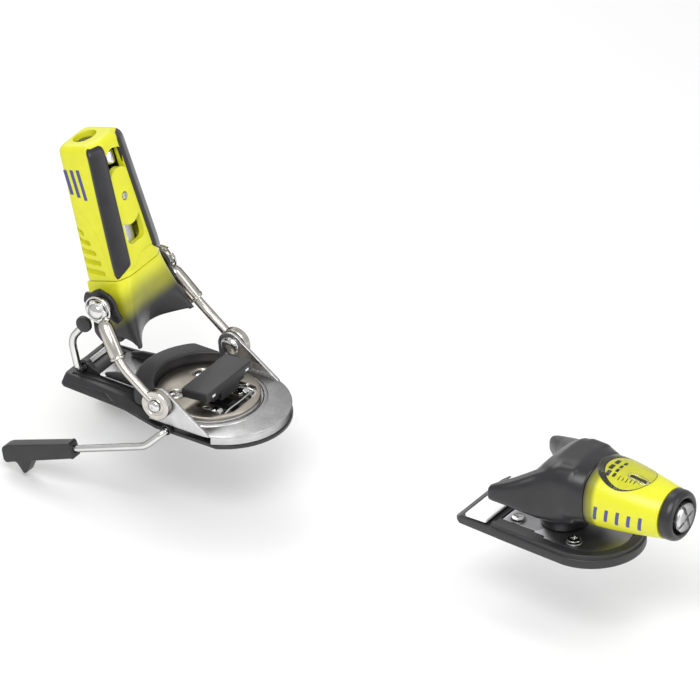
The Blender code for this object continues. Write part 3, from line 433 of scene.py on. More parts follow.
def fillet(points, radius, steps=6, closed=False):
    """Round the corners of a path of points."""
    path = [Vector(point) for point in points]
    if closed:
        triples = list(zip(path[-1:] + path[:-1], path, path[1:] + path[:1]))
        result = []
    else:
        triples = list(zip(path, path[1:], path[2:]))
        result = [path[0]]
    for before, corner, after in triples:
        into = before - corner
        out = after - corner
        reach = min(radius, into.length / 2.1, out.length / 2.1)
        for i in range(steps + 1):
            t = i / steps
            result.append((corner + into.normalized() * reach) * (1 - t) ** 2 + corner * 2 * t * (1 - t)
                + (corner + out.normalized() * reach) * t ** 2)
    if not closed:
        result.append(path[-1])
    return result


def smooth_path(points, steps=6):
    """A curve through every point."""
    path = [Vector(point) for point in points]
    path = [path[0] * 2 - path[1]] + path + [path[-1] * 2 - path[-2]]
    result = []
    for a, b, c, d in zip(path, path[1:], path[2:], path[3:]):
        for i in range(steps):
            t = i / steps
            result.append(0.5 * (b * 2 + (c - a) * t + (a * 2 - b * 5 + c * 4 - d) * t ** 2
                + (b * 3 - a - c * 3 + d) * t ** 3))
    result.append(path[-2])
    return result


def mirrored(half):
    """A full outline from its +Y half, given front to rear."""
    kept = [tuple(point) for point in half]
    return kept + [(x, -y) for x, y in reversed(kept) if abs(y) > 0.001]


def flipped(path):
    """The mirror image of a 3-D path, in reverse order."""
    return [Vector((p.x, -p.y, p.z)) for p in reversed(path)]


def clamped(points, y_half):
    return [(x, min(max(y, -y_half), y_half)) for x, y in points]


def coil(name, centre, radius, wire_radius, turns, length, axis, steps=28):
    """A helical spring from the centre along the axis."""
    turn = turn_to(axis)
    points = []
    total = int(turns * steps)
    for i in range(total + 1):
        angle = tau * i / steps
        local = Vector((radius * cos(angle), radius * sin(angle), length * i / total))
        points.append(Vector(centre) + turn @ local)
    return tube(name, points, wire_radius, sides=3)


def piece(obj, body, material, node=None, sharp=32):
    """Finish a piece: material, shading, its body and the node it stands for."""
    obj.data.materials.clear()
    obj.data.materials.append(material)
    obj.data.shade_smooth()
    obj.data.set_sharp_from_angle(angle=radians(sharp))
    if body in HOUSING_BODIES:
        obj.matrix_world = HOUSING_FRAME
    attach(obj, body)
    if node:
        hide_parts(node)
    return obj


def drive_recess(obj, centre, axis, wide, depth):
    """Cut a cross-shaped screwdriver recess into a screw head that faces up an axis."""
    turn = turn_to(axis).to_4x4()
    place = Matrix.Translation(Vector(centre) * MM) @ turn
    thin = wide * 0.26
    tools = [block("recess_tool", (-wide, -thin, -depth), (wide, thin, 2)),
        block("recess_tool", (-thin, -wide, -depth), (thin, wide, 2))]
    for tool in tools:
        moved(tool, place @ Matrix.Rotation(radians(25), 4, "Z"))
    return cut(obj, *tools)


def countersunk(name, node, x, y, head_r):
    """A round-headed ski screw with a cross recess."""
    top = high(node).z
    profile = [(0, top), (head_r * 0.8, top - 0.05), (head_r - 0.1, top - 0.4), (head_r, top - 0.7),
        (head_r - 0.4, top - 1.1), (2.1, top - 2.3), (2.1, top - 9), (0, top - 9)]
    screw = lathe(name, profile, (x, y, 0), steps=48)
    drive_recess(screw, (x, y, top), UP, head_r * 0.52, 1.2)
    return piece(screw, "bases", CHROME, node)


# --- heel base

BASE_ARC = 42.5               # radius of the base's front arc
ARC_X = high("heel_base").x - BASE_ARC
DISC_TOP = high("heel_disc").z
DISC_SCREW_X = 14
DISC_SCREW_Y = 14.5
PLATE_TOP = high("toe_plate").z


def section(x, bottom_half, top_half, top):
    """A tapered, round-edged cross-section of the heel's tail."""
    outline = [(x, -bottom_half, 0), (x, bottom_half, 0), (x, bottom_half, 1.6), (x, top_half, top),
        (x, -top_half, top), (x, -bottom_half, 1.6)]
    return fillet(outline, 1.2, 4, closed=True)


def heel_base():
    front = clamped(arc((ARC_X, 0), BASE_ARC, 0, 64, 48), 38)
    outline = mirrored(front + [(-14, 38), (-30, 34), (-42, 29)])
    base = rounded(prism("base_moulding", outline, 0, 2.4), 0.5)
    drum = lathe("drum", [(0, 5.9), (36.4, 5.9), (37, 5.3), (37, 0.5), (0, 0.5)], steps=120)
    rear = low("heel_base").x
    tail = loft("tail", [section(rear + 0.3, 23, 18.5, 4.6), section(rear + 1.2, 26, 21, 6.2),
        section(rear + 4, 28, 22.5, 7), section(-70, 29, 24, 7), section(-52, 30, 25.5, 7),
        section(-41, 31, 26.5, 6.9), section(-37.5, 32, 27, 5.8), section(-20, 36.5, 31, 5.8)])
    join(base, drum, tail)
    tools = [block("channel", (BRAKE.x - 2.9, -60, 1), (BRAKE.x + 2.9, 60, 30)),
        block("well", (BRAKE.x - 3.5, -8.5, 1.3), (26, 8.5, 30))]
    for sign in (-1, 1):
        panel = [(rear + 9, 4.6), (-46, 4.9), (-27, 4), (-27, 1.6), (rear + 22, 1.7)]
        recess = prism("panel", panel, -0.6, 0.6, "Y")
        lean = degrees(atan2(5.4, 5))
        moved(recess, about((0, 0, 3.2), sign * lean, "X"))
        moved(recess, Matrix.Translation(Vector((0, sign * 27.6, 0)) * MM))
        tools.append(recess)
        tools.append(block("pocket", (rear + 6, sign * 20.6 - 1.2, 6.2), (-46, sign * 20.6 + 1.2, 9)))
    cut(base, *tools)
    piece(base, "bases", BLACK, "heel_base")


def heel_disc():
    profile = [(0, DISC_TOP), (31.3, DISC_TOP), (32.1, DISC_TOP - 0.3), (32.5, DISC_TOP - 1),
        (32.5, 10.6), (32.1, 10.2), (25.5, 10.2), (25.5, 6.2), (0, 6.2)]
    disc = lathe("locking_disc", profile, steps=144)
    pocket = arc((0, 0), 29.6, -75, 75, 60)
    pocket = [(max(3.5, min(x, 27)), max(-20, min(y, 20))) for x, y in pocket]
    pocket = list(dict.fromkeys([(3.5, -20)] + pocket + [(3.5, 20)]))
    tools = [prism("pocket", pocket, 9.8, 20), block("slot", (BRAKE.x - 4.5, -8.5, 0), (23.5, 8.5, 30))]
    dimple = [(0, 14), (6.4, 14), (6.1, 13), (5.5, 12.2), (4.9, 10.9), (0, 10.9)]
    for sign in (-1, 1):
        tools.append(lathe("dimple", dimple, (-DISC_SCREW_X, sign * DISC_SCREW_Y, 0)))
    cut(disc, *tools)
    piece(disc, "bases", CHAMPAGNE, "heel_disc")
    tray = prism("pocket_tray", [(x * 0.985 + 0.2, y * 0.985) for x, y in pocket], 8.7, 9.6)
    cut(tray, block("slot", (BRAKE.x - 4.5, -8.9, 0), (23.9, 8.9, 30)))
    piece(tray, "bases", DARK)
    for side, sign in SIDES:
        ring = [(5.75, 12.9), (5.5, 13.3), (5, 13.3), (4.6, 12.9)]
        rim = lathe(f"dimple_rim_{side}", ring, (-DISC_SCREW_X, sign * DISC_SCREW_Y, 0))
        piece(rim, "bases", CHAMPAGNE)
    spots = [(x, y) for x in (-DISC_SCREW_X, DISC_SCREW_X) for y in (-DISC_SCREW_Y, DISC_SCREW_Y)]
    for number, (x, y) in enumerate(spots, 1):
        countersunk(f"ski_screw_heel_{number}", f"heel_screw_{number}", x, y, 4.25)


def bent_strip(name, points, half_y, thick, y=0):
    """Sheet metal bent along a path in the XZ plane."""
    rows = []
    for i, point in enumerate(points):
        before = Vector(points[max(i - 1, 0)])
        after = Vector(points[min(i + 1, len(points) - 1)])
        along = (after - before).normalized()
        across = Vector((-along.y, along.x)) * thick / 2
        rows.append((Vector(point) - across, Vector(point) + across))
    near, far = y - half_y, y + half_y
    rings = [[(a.x, near, a.y), (a.x, far, a.y), (b.x, far, b.y), (b.x, near, b.y)] for a, b in rows]
    return rounded(loft(name, rings), 0.18, 2, 50)


def brake_hardware():
    """Sheet-metal brackets and return springs around the pedal's hinge."""
    for side, sign in SIDES:
        y = sign * 14.2
        path = fillet([(6, 10.6), (11, 10.6), (12.4, 12.2), (17.4, 12.4), (19, 10.8), (23.6, 10.8)],
            1.2, 4)
        piece(bent_strip(f"spring_bracket_{side}", path, 2, 0.8, y), "bases", CHROME)
        spring = coil(f"return_spring_{side}", (15.6, sign * 18.5 - 1.2, 11.9), 1.4, 0.4, 3, 2.4,
            ACROSS)
        piece(spring, "bases", CHROME)
        leg = fillet([(21.6, sign * 17.8, 10.9), (17.8, sign * 16.9, 12.2), (12.6, sign * 17.2, 12.2),
            (7.4, sign * 18.3, 10.8)], 2)
        piece(tube(f"spring_leg_{side}", leg, 0.6), "bases", CHROME)
    tongue = fillet([(16.2, 9.2), (21, 9.2), (23.6, 11.8), (26.6, 12.2)], 1.4, 4)
    piece(bent_strip("pocket_tongue", tongue, 3.4, 0.9), "bases", DARK)
    bar = fillet([(22.6, -15.6, 11.6), (22.6, -10.4, 12.6), (23.4, 0, 13), (22.6, 10.4, 12.6),
        (22.6, 15.6, 11.6)], 3)
    piece(tube("pocket_wire", bar, 0.7), "bases", CHROME)


# --- turntable

def turntable():
    ring = [(37.5, 6.3), (37.5, 8.6), (37.2, 8.95), (36.8, 9), (36.4, 9.5), (35.8, 9.75), (34.6, 9.75),
        (34.2, 9.4), (33.6, 9), (26.8, 8.9), (26.5, 8.6), (26.5, 6.3)]
    plate = lathe("turntable_sheet", ring, steps=144)
    front = arc((ARC_X, 0), 42, 0, 73, 60)
    outline = mirrored(front
        + [(22, 40.4), (-17, 40.4), (-17.5, 32), (-30, 23), (-36, 17), (-69, 16), (-70, 15)])
    apron = rounded(prism("apron", outline, 7.5, 8.95), 0.5, 3, 20)
    lip = arc((ARC_X, 0), 41.9, -68, 68, 80)
    inner = arc((ARC_X, 0), 39.4, 68, -68, 80)
    skirt = rounded(prism("skirt", lip + inner, 2.7, 8.6), 0.4, 3, 40)
    cut(apron, drill(26.5, 0, 20, steps=144))
    join(plate, apron, skirt)
    piece(plate, "turntable", SILVER, "turntable_plate")
    for side, sign in SIDES:
        foot = 7.9
        ear = [(26.4, foot), (26.2, foot + 1)] + arc((EAR.x, EAR.z), 9.2, 38, 190, 24)
        ear.append((-16.6, foot))
        cheek = rounded(side_prism(f"ear_plate_{side}", ear, sign, 38, 40.4), 0.45, 3, 40)
        piece(cheek, "turntable", SILVER)


def heel_pad():
    inner_r, outer_r, floor_z, roof_z, limit = 33.4, 45.8, 9.2, high("heel_pad").z, 31.9
    profile = fillet([(inner_r, 0, floor_z), (outer_r, 0, floor_z), (outer_r, 0, roof_z),
        (inner_r, 0, roof_z)], 1.6, 5, closed=True)
    rings = []
    for i in range(61):
        angle = radians(111 + 138 * i / 60)
        pinch = 0.94 if i in (0, 60) else 1
        ring = []
        for point in profile:
            radius = 39.6 + (point.x - 39.6) * pinch
            y = radius * sin(angle)
            reach = min(1, limit / max(abs(y), 1e-6))
            height = 14.6 + (point.z - 14.6) * pinch
            ring.append((radius * cos(angle), y * reach, height))
        rings.append(ring)
    pad = loft("heel_pad_block", rings)
    slots = []
    for angle in (150, 180, 210):
        slot = block("slot", (-60, -5, 10.8), (-44.9, 5, 17.6))
        slots.append(moved(slot, Matrix.Rotation(radians(180 - angle), 4, "Z")))
    cut(pad, *slots)
    piece(pad, "turntable", BLACK, "heel_pad")


def tail_clip():
    bottom, top = low("tail_clip"), high("tail_clip")
    profile = [(bottom.x, 7.5), (bottom.x, 9.6), (bottom.x + 3.2, top.z - 0.6), (bottom.x + 8.4, top.z),
        (top.x - 5, 11.2), (top.x, 9.4), (top.x, 7.5)]
    clip = prism("stirrup_clip", fillet(profile, 1, 4, closed=True), -15, 15, "Y")
    cut(clip, prism("bar", arc((STIRRUP_FOOT.x, STIRRUP_FOOT.z), 2.8, 0, 345, 23), -30, 30, "Y"),
        block("gap", (bottom.x - 5, -12, 10.4), (top.x + 1, 12, 20)))
    rounded(clip, 0.35, 2, 45)
    piece(clip, "turntable", BLACK, "tail_clip")
    for side, sign in SIDES:
        wall = [(-66, 9.2), (-66, 11), (-58, 14), (-46.2, 15.6), (-46.2, 9.2)]
        rib = rounded(side_prism(f"pad_rib_{side}", wall, sign, 13.4, 15.6), 0.6, 3)
        piece(rib, "turntable", BLACK)


def ear_pins():
    for side, sign in SIDES:
        outer = fillet([(0, 49), (2.3, 48.8), (3.9, 47.7), (4.3, 46.6), (3, 46.6), (3, 37.7),
            (6.6, 37.7), (6.6, 36.9), (5.2, 35.6), (3, 35), (0, 34.9)], 0.5, 3)
        pin = lathe(f"ear_rivet_{side}", outer, EAR, (0, sign, 0), 56)
        cut(pin, lathe("dot", [(0, 50), (0.75, 50), (0.75, 48.4), (0, 48.1)], EAR, (0, sign, 0), 24))
        piece(pin, "turntable", CHROME, f"ear_pin_{side}")


# --- arms

def arms():
    for side, sign in SIDES:
        eye = [(3.3, 41), (9.2, 41), (9.7, 41.5), (9.7, 45.7), (9.3, 46.2), (6.6, 46.25), (6.3, 45.95),
            (5.4, 45.95), (5.1, 46.3), (3.3, 46.3)]
        rod = lathe(f"arm_eye_{side}", eye, EAR, (0, sign, 0), 80)
        start = Vector((EAR.x - 4, sign * 44.2, EAR.z + 3))
        bend = Vector((-35.5, sign * 44.2, 41.6))
        end = Vector((HUB.x, sign * 36, HUB.z))
        along = (end - bend).normalized()
        path = fillet([start, bend, bend.lerp(end, 0.5)], 8, 10)
        join(rod, tube("rod", path, 2.9, sides=8))
        cut(rod, drill(3.3, 20, 60, EAR, (0, sign, 0), 40))
        piece(rod, "arms", NICKEL, f"arm_rod_{side}")

        length = (end - bend).length
        sleeve = [(3.4, 0.09 * length), (4.6, 0.095 * length), (5, 0.115 * length),
            (4.95, 0.135 * length), (4.5, 0.15 * length), (4.5, 0.165 * length), (4.75, 0.18 * length),
            (4.85, 0.5 * length), (4.7, 0.68 * length), (4.1, 0.74 * length), (2.9, 0.79 * length),
            (0, 0.8 * length)]
        barrel = lathe(f"arm_sleeve_{side}", [(0, 0.09 * length)] + sleeve, bend, along, 64)
        neck = tube("neck", [bend.lerp(end, 0.6), Vector((HUB.x + 4, sign * 34.6, HUB.z - 3.4))], 2.6)
        head = [(3.6, 32), (6.6, 32), (7, 32.4), (7, 36.6), (6.6, 37), (3.6, 37)]
        join(barrel, neck, lathe("head", head, HUB, (0, sign, 0), 56))
        piece(barrel, "arms", NICKEL, f"arm_barrel_{side}")
        hub_nut(side, sign)
    profile = [(0, 38.7), (3.1, 38.7), (3.3, 38.5), (3.3, -38.5), (3.1, -38.7), (0, -38.7)]
    axle = lathe("hub_shaft", profile, HUB, ACROSS, 40)
    piece(axle, "arms", STEEL, "hub_axle")


def hub_nut(side, sign):
    """Star-shaped nut with a polished dome, over a thin bright ring."""
    dome = [(0, 42.2), (1.6, 42.05), (3.2, 41.5), (4.6, 40.5), (5.3, 39.4), (5.4, 38.9), (6, 38.8),
        (6.1, 37.4), (0, 37.4)]
    nut = lathe(f"hub_dome_{side}", fillet(dome, 0.4, 3), HUB, (0, sign, 0), 72)
    star = []
    for i in range(72):
        angle = tau * i / 72
        radius = 6.9 + 0.85 * cos(6 * angle)
        star.append((HUB.x + radius * cos(angle), HUB.z + radius * sin(angle)))
    lobes = rounded(side_prism("lobes", star, sign, 37.3, 39.3), 0.5, 3, 40)
    join(nut, lobes)
    piece(nut, "arms", CHROME, f"hub_nut_{side}")
    ring = [(8.3, 36.4), (8.9, 36.4), (9.3, 36.8), (9.3, 37), (8.9, 37.4), (8.3, 37.4), (7.9, 37),
        (7.9, 36.8)]
    piece(lathe(f"hub_ring_{side}", ring, HUB, (0, sign, 0)), "arms", CHROME)


# --- heel housing

JAW_TURN = radians(3)  # the jaw points this much further down than the shell
SCREW_Z = 60.4
SHELL_LOW = 13
SHELL_HIGH = 101
SHELL_FRONT = 15
SPRING_X = -3
CHAMFER_X = 4.4                # the corner strips lie on a shallow chamfer of the front
CHAMFER_Y = 8.4
WINDOWS = ((8, 76, 93), (8.8, 30, 45.5))


def half_width(z):
    """Half the housing's width at a height."""
    share = (z - SHELL_LOW) / (SHELL_HIGH - SHELL_LOW)
    return 23 - 6.5 * share


def shell_ring(z, inset=0, front=SHELL_FRONT):
    """Plan outline of the housing at a height: chamfered in front, rounded behind."""
    half = half_width(z) - inset
    front -= inset
    rear = -15 + inset
    right = fillet([(0, -half, z), (rear, -half, z), (rear, 0, z)], 7 - inset * 0.5, 8)
    corner = fillet([(front, 0, z), (front, -half + CHAMFER_Y, z), (front - CHAMFER_X, -half, z),
        (-8, -half, z)], 1.8, 5)
    side = corner[1:-1] + right[1:-1]
    return side + flipped(side)


def shell_body():
    rings = [shell_ring(SHELL_LOW, 0.5), shell_ring(SHELL_LOW + 0.5)]
    span = SHELL_HIGH - 5 - SHELL_LOW
    rings += [shell_ring(SHELL_LOW + 0.5 + span * i / 13) for i in range(1, 13)]
    radius = 4.6
    for i in range(11):
        angle = radians(90 * i / 10)
        rings.append(shell_ring(SHELL_HIGH - radius + radius * sin(angle), radius * (1 - cos(angle))))
    return loft("housing_shell", rings)


def arch(y_half, z_end, rise, up, steps=24):
    """Points across an arched window edge."""
    points = []
    for i in range(steps + 1):
        y = y_half - 2 * y_half * i / steps
        points.append((y, z_end + up * rise * (1 - (y / y_half) ** 2)))
    return points


def heel_shell():
    shell = shell_body()
    hollow = loft("hollow", [shell_ring(z, 3, 14) for z in (SHELL_LOW - 4, 50, 95.5)])
    (half_u, low_u, high_u), (half_l, low_l, high_l) = WINDOWS
    upper = fillet([(-half_u, low_u), (-half_u, high_u - 2.6), (0, high_u), (half_u, high_u - 2.6),
        (half_u, low_u)], 2)
    upper = arch(half_u, low_u, 3.4, 1) + upper[1:-1]
    lower = fillet([(-half_l, high_l), (-half_l, low_l), (half_l, low_l), (half_l, high_l)], 5)
    lower = arch(half_l, high_l, 3.6, -1) + lower[1:-1]
    cut(shell, hollow)
    cut(shell, prism("upper_window", upper, 8, 20, "X"), prism("lower_window", lower, 8, 20, "X"),
        drill(2.75, 8, 20, (0, 0, SCREW_Z), ALONG, 40),
        prism("top_recess", ellipse(SPRING_X, 0, 6.9, 8.8, 56), 94, 106))
    grooves = []
    for sign in (-1, 1):
        for i in range(5):
            z = 17.5 + 6.6 * i
            half = half_width(z)
            reach = 1.8 - 1.2 * i - 0.3 * i * i
            outline = fillet([(-12.6, z + 1.2), (reach, z - 1.6), (reach, z + 1.9), (-12.6, z + 4.7)],
                1.1, 4, closed=True)
            grooves.append(side_prism("groove", outline, sign, half - 2.5, half + 3))
    cut(shell, *grooves)
    lines = []
    for sign in (-1, 1):
        key = [(-15.4, 66), (-8, 60), (-1, 50), (3, 39), (4.6, 28), (5.8, 20), (10, 16.4)]
        path = [(x, sign * half_width(z), z) for x, z in key]
        lines.append(tube("side_line", smooth_path(path), 0.6, sides=2))
    key = [(-15, 16.4), (-8, 16.8), (-5, 18.4), (2.4, 22.4), (9, 22.4), (12, 21.2), (15.4, 22.6)]
    path = [(SHELL_FRONT, y, z) for y, z in key]
    lines.append(tube("front_line", fillet(path, 1.6), 0.6, sides=2))
    cut(shell, *lines)
    piece(shell, "housing", YELLOW, "heel_housing", sharp=28)


def sweep(name, stations):
    """A rounded strip through (centre, across, outward, half width, thickness, shear)."""
    rings = []
    for centre, across, outward, half, thick, shear in stations:
        corner = min(half, thick) * 0.45
        outline = fillet([(-half, -thick / 2, 0), (half, -thick / 2, 0), (half, thick / 2, 0),
            (-half, thick / 2, 0)], corner, 4, closed=True)
        ring = []
        for p in outline:
            point = Vector(centre) + Vector(across) * p.x + Vector(outward) * p.y
            point.z += shear * p.x
            ring.append(point)
        rings.append(ring)
    return loft(name, rings)


def corner_strips():
    for side, sign in SIDES:
        across = Vector((-CHAMFER_X, sign * CHAMFER_Y, 0)).normalized()
        outward = Vector((CHAMFER_Y, sign * CHAMFER_X, 0)).normalized()
        stations = []
        for z, half, thick in ((16.4, 3.8, 1.6), (17, 5.2, 3), (18.6, 5.9, 4), (23, 6.1, 4.4),
                (45, 6.1, 4.4), (70, 6, 4.4), (93, 5.8, 4.4)):
            centre = Vector((SHELL_FRONT - CHAMFER_X / 2, sign * (half_width(z) - CHAMFER_Y / 2), z))
            shear = -0.55 * max(0, 1 - (z - 16.4) / 5)
            stations.append((centre - outward * 0.5, across, outward, half, thick, shear))
        base = stations[-1][0]
        for i in range(1, 11):
            angle = radians(9 * i)
            turned = outward * cos(angle) + Vector((0, 0, sin(angle)))
            centre = base - outward * 4.6 * (1 - cos(angle))
            centre.z += 5.2 * sin(angle)
            half = 5.8 * sqrt(max(0.06, 1 - (i / 10.4) ** 3))
            stations.append((centre, across, turned, half, 4.2, 0))
        strip = sweep(f"corner_strip_{side}", stations)
        piece(strip, "housing", DARK, f"corner_guard_{side}", sharp=50)


def housing_marks():
    """Plain slanted bars on both sides of the housing."""
    for side, sign in SIDES:
        for index, x in enumerate((-10.2, -5.4, -0.6)):
            ring = []
            for z, offset in ((70 - 2 * index, 0.8), (86, -0.8)):
                inner = sign * (half_width(z) - 0.3)
                outer = sign * (half_width(z) + 0.12)
                rear = x + offset - 1.2
                front = x + offset + 1.2
                ring.append([(rear, inner, z), (front, inner, z), (front, outer, z), (rear, outer, z)])
            bar = loft(f"side_bar_{side}_{index}", ring)
            piece(bar, "housing", NAVY)


def jaw_edges():
    """Top and bottom edges of the flared lower body, in the housing's frame."""
    half = half_width(SHELL_LOW)
    top = fillet([(-13.6, half, 12.7), (SHELL_FRONT - CHAMFER_X, half, 12.7),
        (SHELL_FRONT, half - CHAMFER_Y, 12.7), (SHELL_FRONT, 0, 12.7)], 3, 8)
    key = [(-13.6, 25.6, -7), (-6, 26.6, -15.4), (1, 27.4, -20.6), (8, 28.2, -22.6), (14, 29, -24.4),
        (18.6, 29.8, -27.4), (20.6, 29.6, -28.4), (20, 27, -28), (17.6, 23.6, -27.2), (13.2, 17, -26.2),
        (10, 10.6, -25.2), (8.2, 5.4, -24.8), (7.4, 0, -24.6)]
    turn = Matrix.Rotation(JAW_TURN, 3, "Y")
    key = [turn @ Vector(point) for point in key]
    return evened(top, 48), evened(smooth_path(key, 8), 48)


def evened(path, count):
    """The same path with evenly spaced points."""
    lengths = [0]
    for a, b in zip(path, path[1:]):
        lengths.append(lengths[-1] + (b - a).length)
    result = []
    index = 0
    for i in range(count + 1):
        goal = lengths[-1] * i / count
        while index < len(path) - 2 and lengths[index + 1] < goal:
            index += 1
        span = lengths[index + 1] - lengths[index]
        share = (goal - lengths[index]) / span if span > 0 else 0
        result.append(path[index].lerp(path[index + 1], share))
    return result


def heel_jaw():
    top, bottom = jaw_edges()
    top += flipped(top[:-1])
    bottom += flipped(bottom[:-1])
    levels = 22
    bm = bmesh.new()
    rows = []
    for level in range(levels + 1):
        t = level / levels
        flare = t ** 1.75
        row = []
        for upper, lower in zip(top, bottom):
            point = Vector((upper.x + (lower.x - upper.x) * flare,
                upper.y + (lower.y - upper.y) * t ** 1.1, upper.z + (lower.z - upper.z) * t))
            crease = exp(-((abs(upper.y) - 17.5) / 2.4) ** 2) * sin(pi * t ** 0.8)
            point += Vector((0.7, copysign(0.5, upper.y), 0)) * crease
            row.append(bm.verts.new(point * MM))
        rows.append(row)
    for upper, lower in zip(rows, rows[1:]):
        for i in range(len(upper) - 1):
            bm.faces.new((upper[i], upper[i + 1], lower[i + 1], lower[i]))
    jaw = from_bmesh("jaw_body", bm)
    solid = jaw.modifiers.new("wall", "SOLIDIFY")
    solid.thickness = 3.2 * MM
    solid.offset = -1
    baked(jaw)
    rounded(jaw, 0.5, 2, 60)
    cut(jaw, drill(3.7, -60, 60, (0, 0, 0), ACROSS, 40))
    fade = fading_plastic("jaw_fade", YELLOW_RGB, BLACK_RGB, (5, 0, 7), (14.5, 0, -14), 0.34)
    piece(jaw, "housing", fade, "heel_jaw", sharp=40)


def hub_guards():
    for side, sign in SIDES:
        outline = arc((0, 0), 14.2, -60, -38, 6) + arc((0, 0), 9.4, -18, 62, 14)
        outline += arc((0, 0), 11, 90, 130, 8) + arc((0, 0), 14.2, 140, 168, 6)
        outline = fillet(outline + arc((0, 0), 9.4, 198, 284, 16), 1.2, 4, closed=True)
        guard = rounded(side_prism(f"hub_collar_{side}", outline, sign, 28.6, 31.3), 0.7, 3, 40)
        cut(guard, drill(3.6, -60, 60, (0, 0, 0), ACROSS, 40))
        piece(guard, "housing", DARK, f"hub_guard_{side}")
        lug = fillet([(-17.5, -14), (-11, -12), (-7, -17.5), (-9, -26), (-15, -29), (-19, -22)], 2, 5,
            closed=True)
        block_lug = rounded(side_prism(f"cam_lug_{side}", lug, sign, 14.5, 23.5), 0.8, 3, 40)
        piece(block_lug, "housing", BLACK)
    cam = [(-16, -9), (-7.5, -9), (-7.5, -33), (-11, -33), (-16, -26)]
    body = prism("cam_housing", fillet(cam, 1.6, 5, closed=True), -14, 14, "Y")
    rounded(body, 0.6, 3, 40)
    cut(body, block("rib_gap", (-18, -9, -30), (-14, -3, -12)),
        block("rib_gap", (-18, 3, -30), (-14, 9, -12)))
    piece(body, "housing", BLACK, "cam_block")


def housing_inner():
    spring = coil("heel_spring", (SPRING_X, 0, 27), 7.4, 1.3, 6, 44, UP)
    piece(spring, "housing", STEEL, "release_spring")
    cup = lathe("spring_cup", [(0, 30), (5, 30), (5.4, 29.6), (5.4, 25.2), (8.4, 25.2), (8.8, 24.8),
        (8.8, 19.9), (8.4, 19.5), (0, 19.5)], (SPRING_X, 0, 0), steps=56)
    piece(cup, "housing", STEEL, "spring_plunger")
    sleeve = lathe("spring_sleeve", [(11.6, 52), (12.2, 52), (12.2, 26.5), (11.6, 26.5)], (-1, 0, 0),
        steps=96)
    piece(sleeve, "housing", SILVER)
    liner = block("window_liner", (-1.6, -9.6, 74.5), (11.6, 9.6, 95))
    cut(liner, block("room", (-0.8, -8.8, 75.2), (13, 8.8, 94.2)),
        drill(6.6, 60, 120, (SPRING_X, 0, 0), steps=40))
    piece(liner, "housing", DARK)
    screw = lathe("face_screw", [(0, 15.7), (1.8, 15.7), (2.3, 15.2), (2.4, 14.4), (1.5, 14.4),
        (1.5, 8), (0, 8)], (0, 0, SCREW_Z), ALONG, 48)
    drive_recess(screw, (15.7, 0, SCREW_Z), ALONG, 1.3, 0.7)
    piece(screw, "housing", CHROME, "housing_screw")
    top = 98
    head = lathe("heel_setting_screw", [(0, top), (5.6, top), (6.1, top - 0.5), (6.2, top - 2.4),
        (2.5, top - 2.6), (2.5, 76.2), (0, 76)], (SPRING_X, 0, 0), steps=64)
    cut(head, block("slot", (-9, -0.8, top - 1.6), (3, 0.8, top + 4)))
    piece(head, "heel_adjuster", CHROME, "heel_adjuster")
    outline = [(10.6, -6.3), (10.6, -2.6), (8.9, 0), (10.6, 2.6), (10.6, 6.3), (-9.4, 6.3),
        (-9.4, -6.3)]
    nut = prism("setting_nut", outline, 80.6, 89.4)
    rounded(nut, 0.9, 3)
    cut(nut, drill(2.8, 60, 120, (SPRING_X, 0, 0), steps=32))
    piece(nut, "heel_indicator", CHROME, "heel_indicator")


# --- stirrup and brake

def stirrup():
    half = [(STIRRUP_HEAD.x, -27.2, STIRRUP_HEAD.z), (STIRRUP_HEAD.x, -21.5, STIRRUP_HEAD.z),
        (-86.5, -21.5, 32), (STIRRUP_FOOT.x, -21.5, STIRRUP_FOOT.z)]
    path = half + [(x, -y, z) for x, y, z in reversed(half)]
    loop = tube("stirrup_loop", fillet(path, 6, 10), 2.35, sides=8)
    piece(loop, "stirrup", CHROME, "stirrup")
    for side, sign in SIDES:
        ring = [(0, 28.5), (4.2, 28.2), (5, 27.8), (5.3, 27), (5.3, 25.4), (4.9, 25), (2.75, 25),
            (2.75, 27.5), (0, 27.5)]
        knob = lathe(f"stirrup_knob_{side}", ring, STIRRUP_HEAD, (0, sign, 0), 56)
        piece(knob, "rollers", BLACK, f"stirrup_roller_{side}")


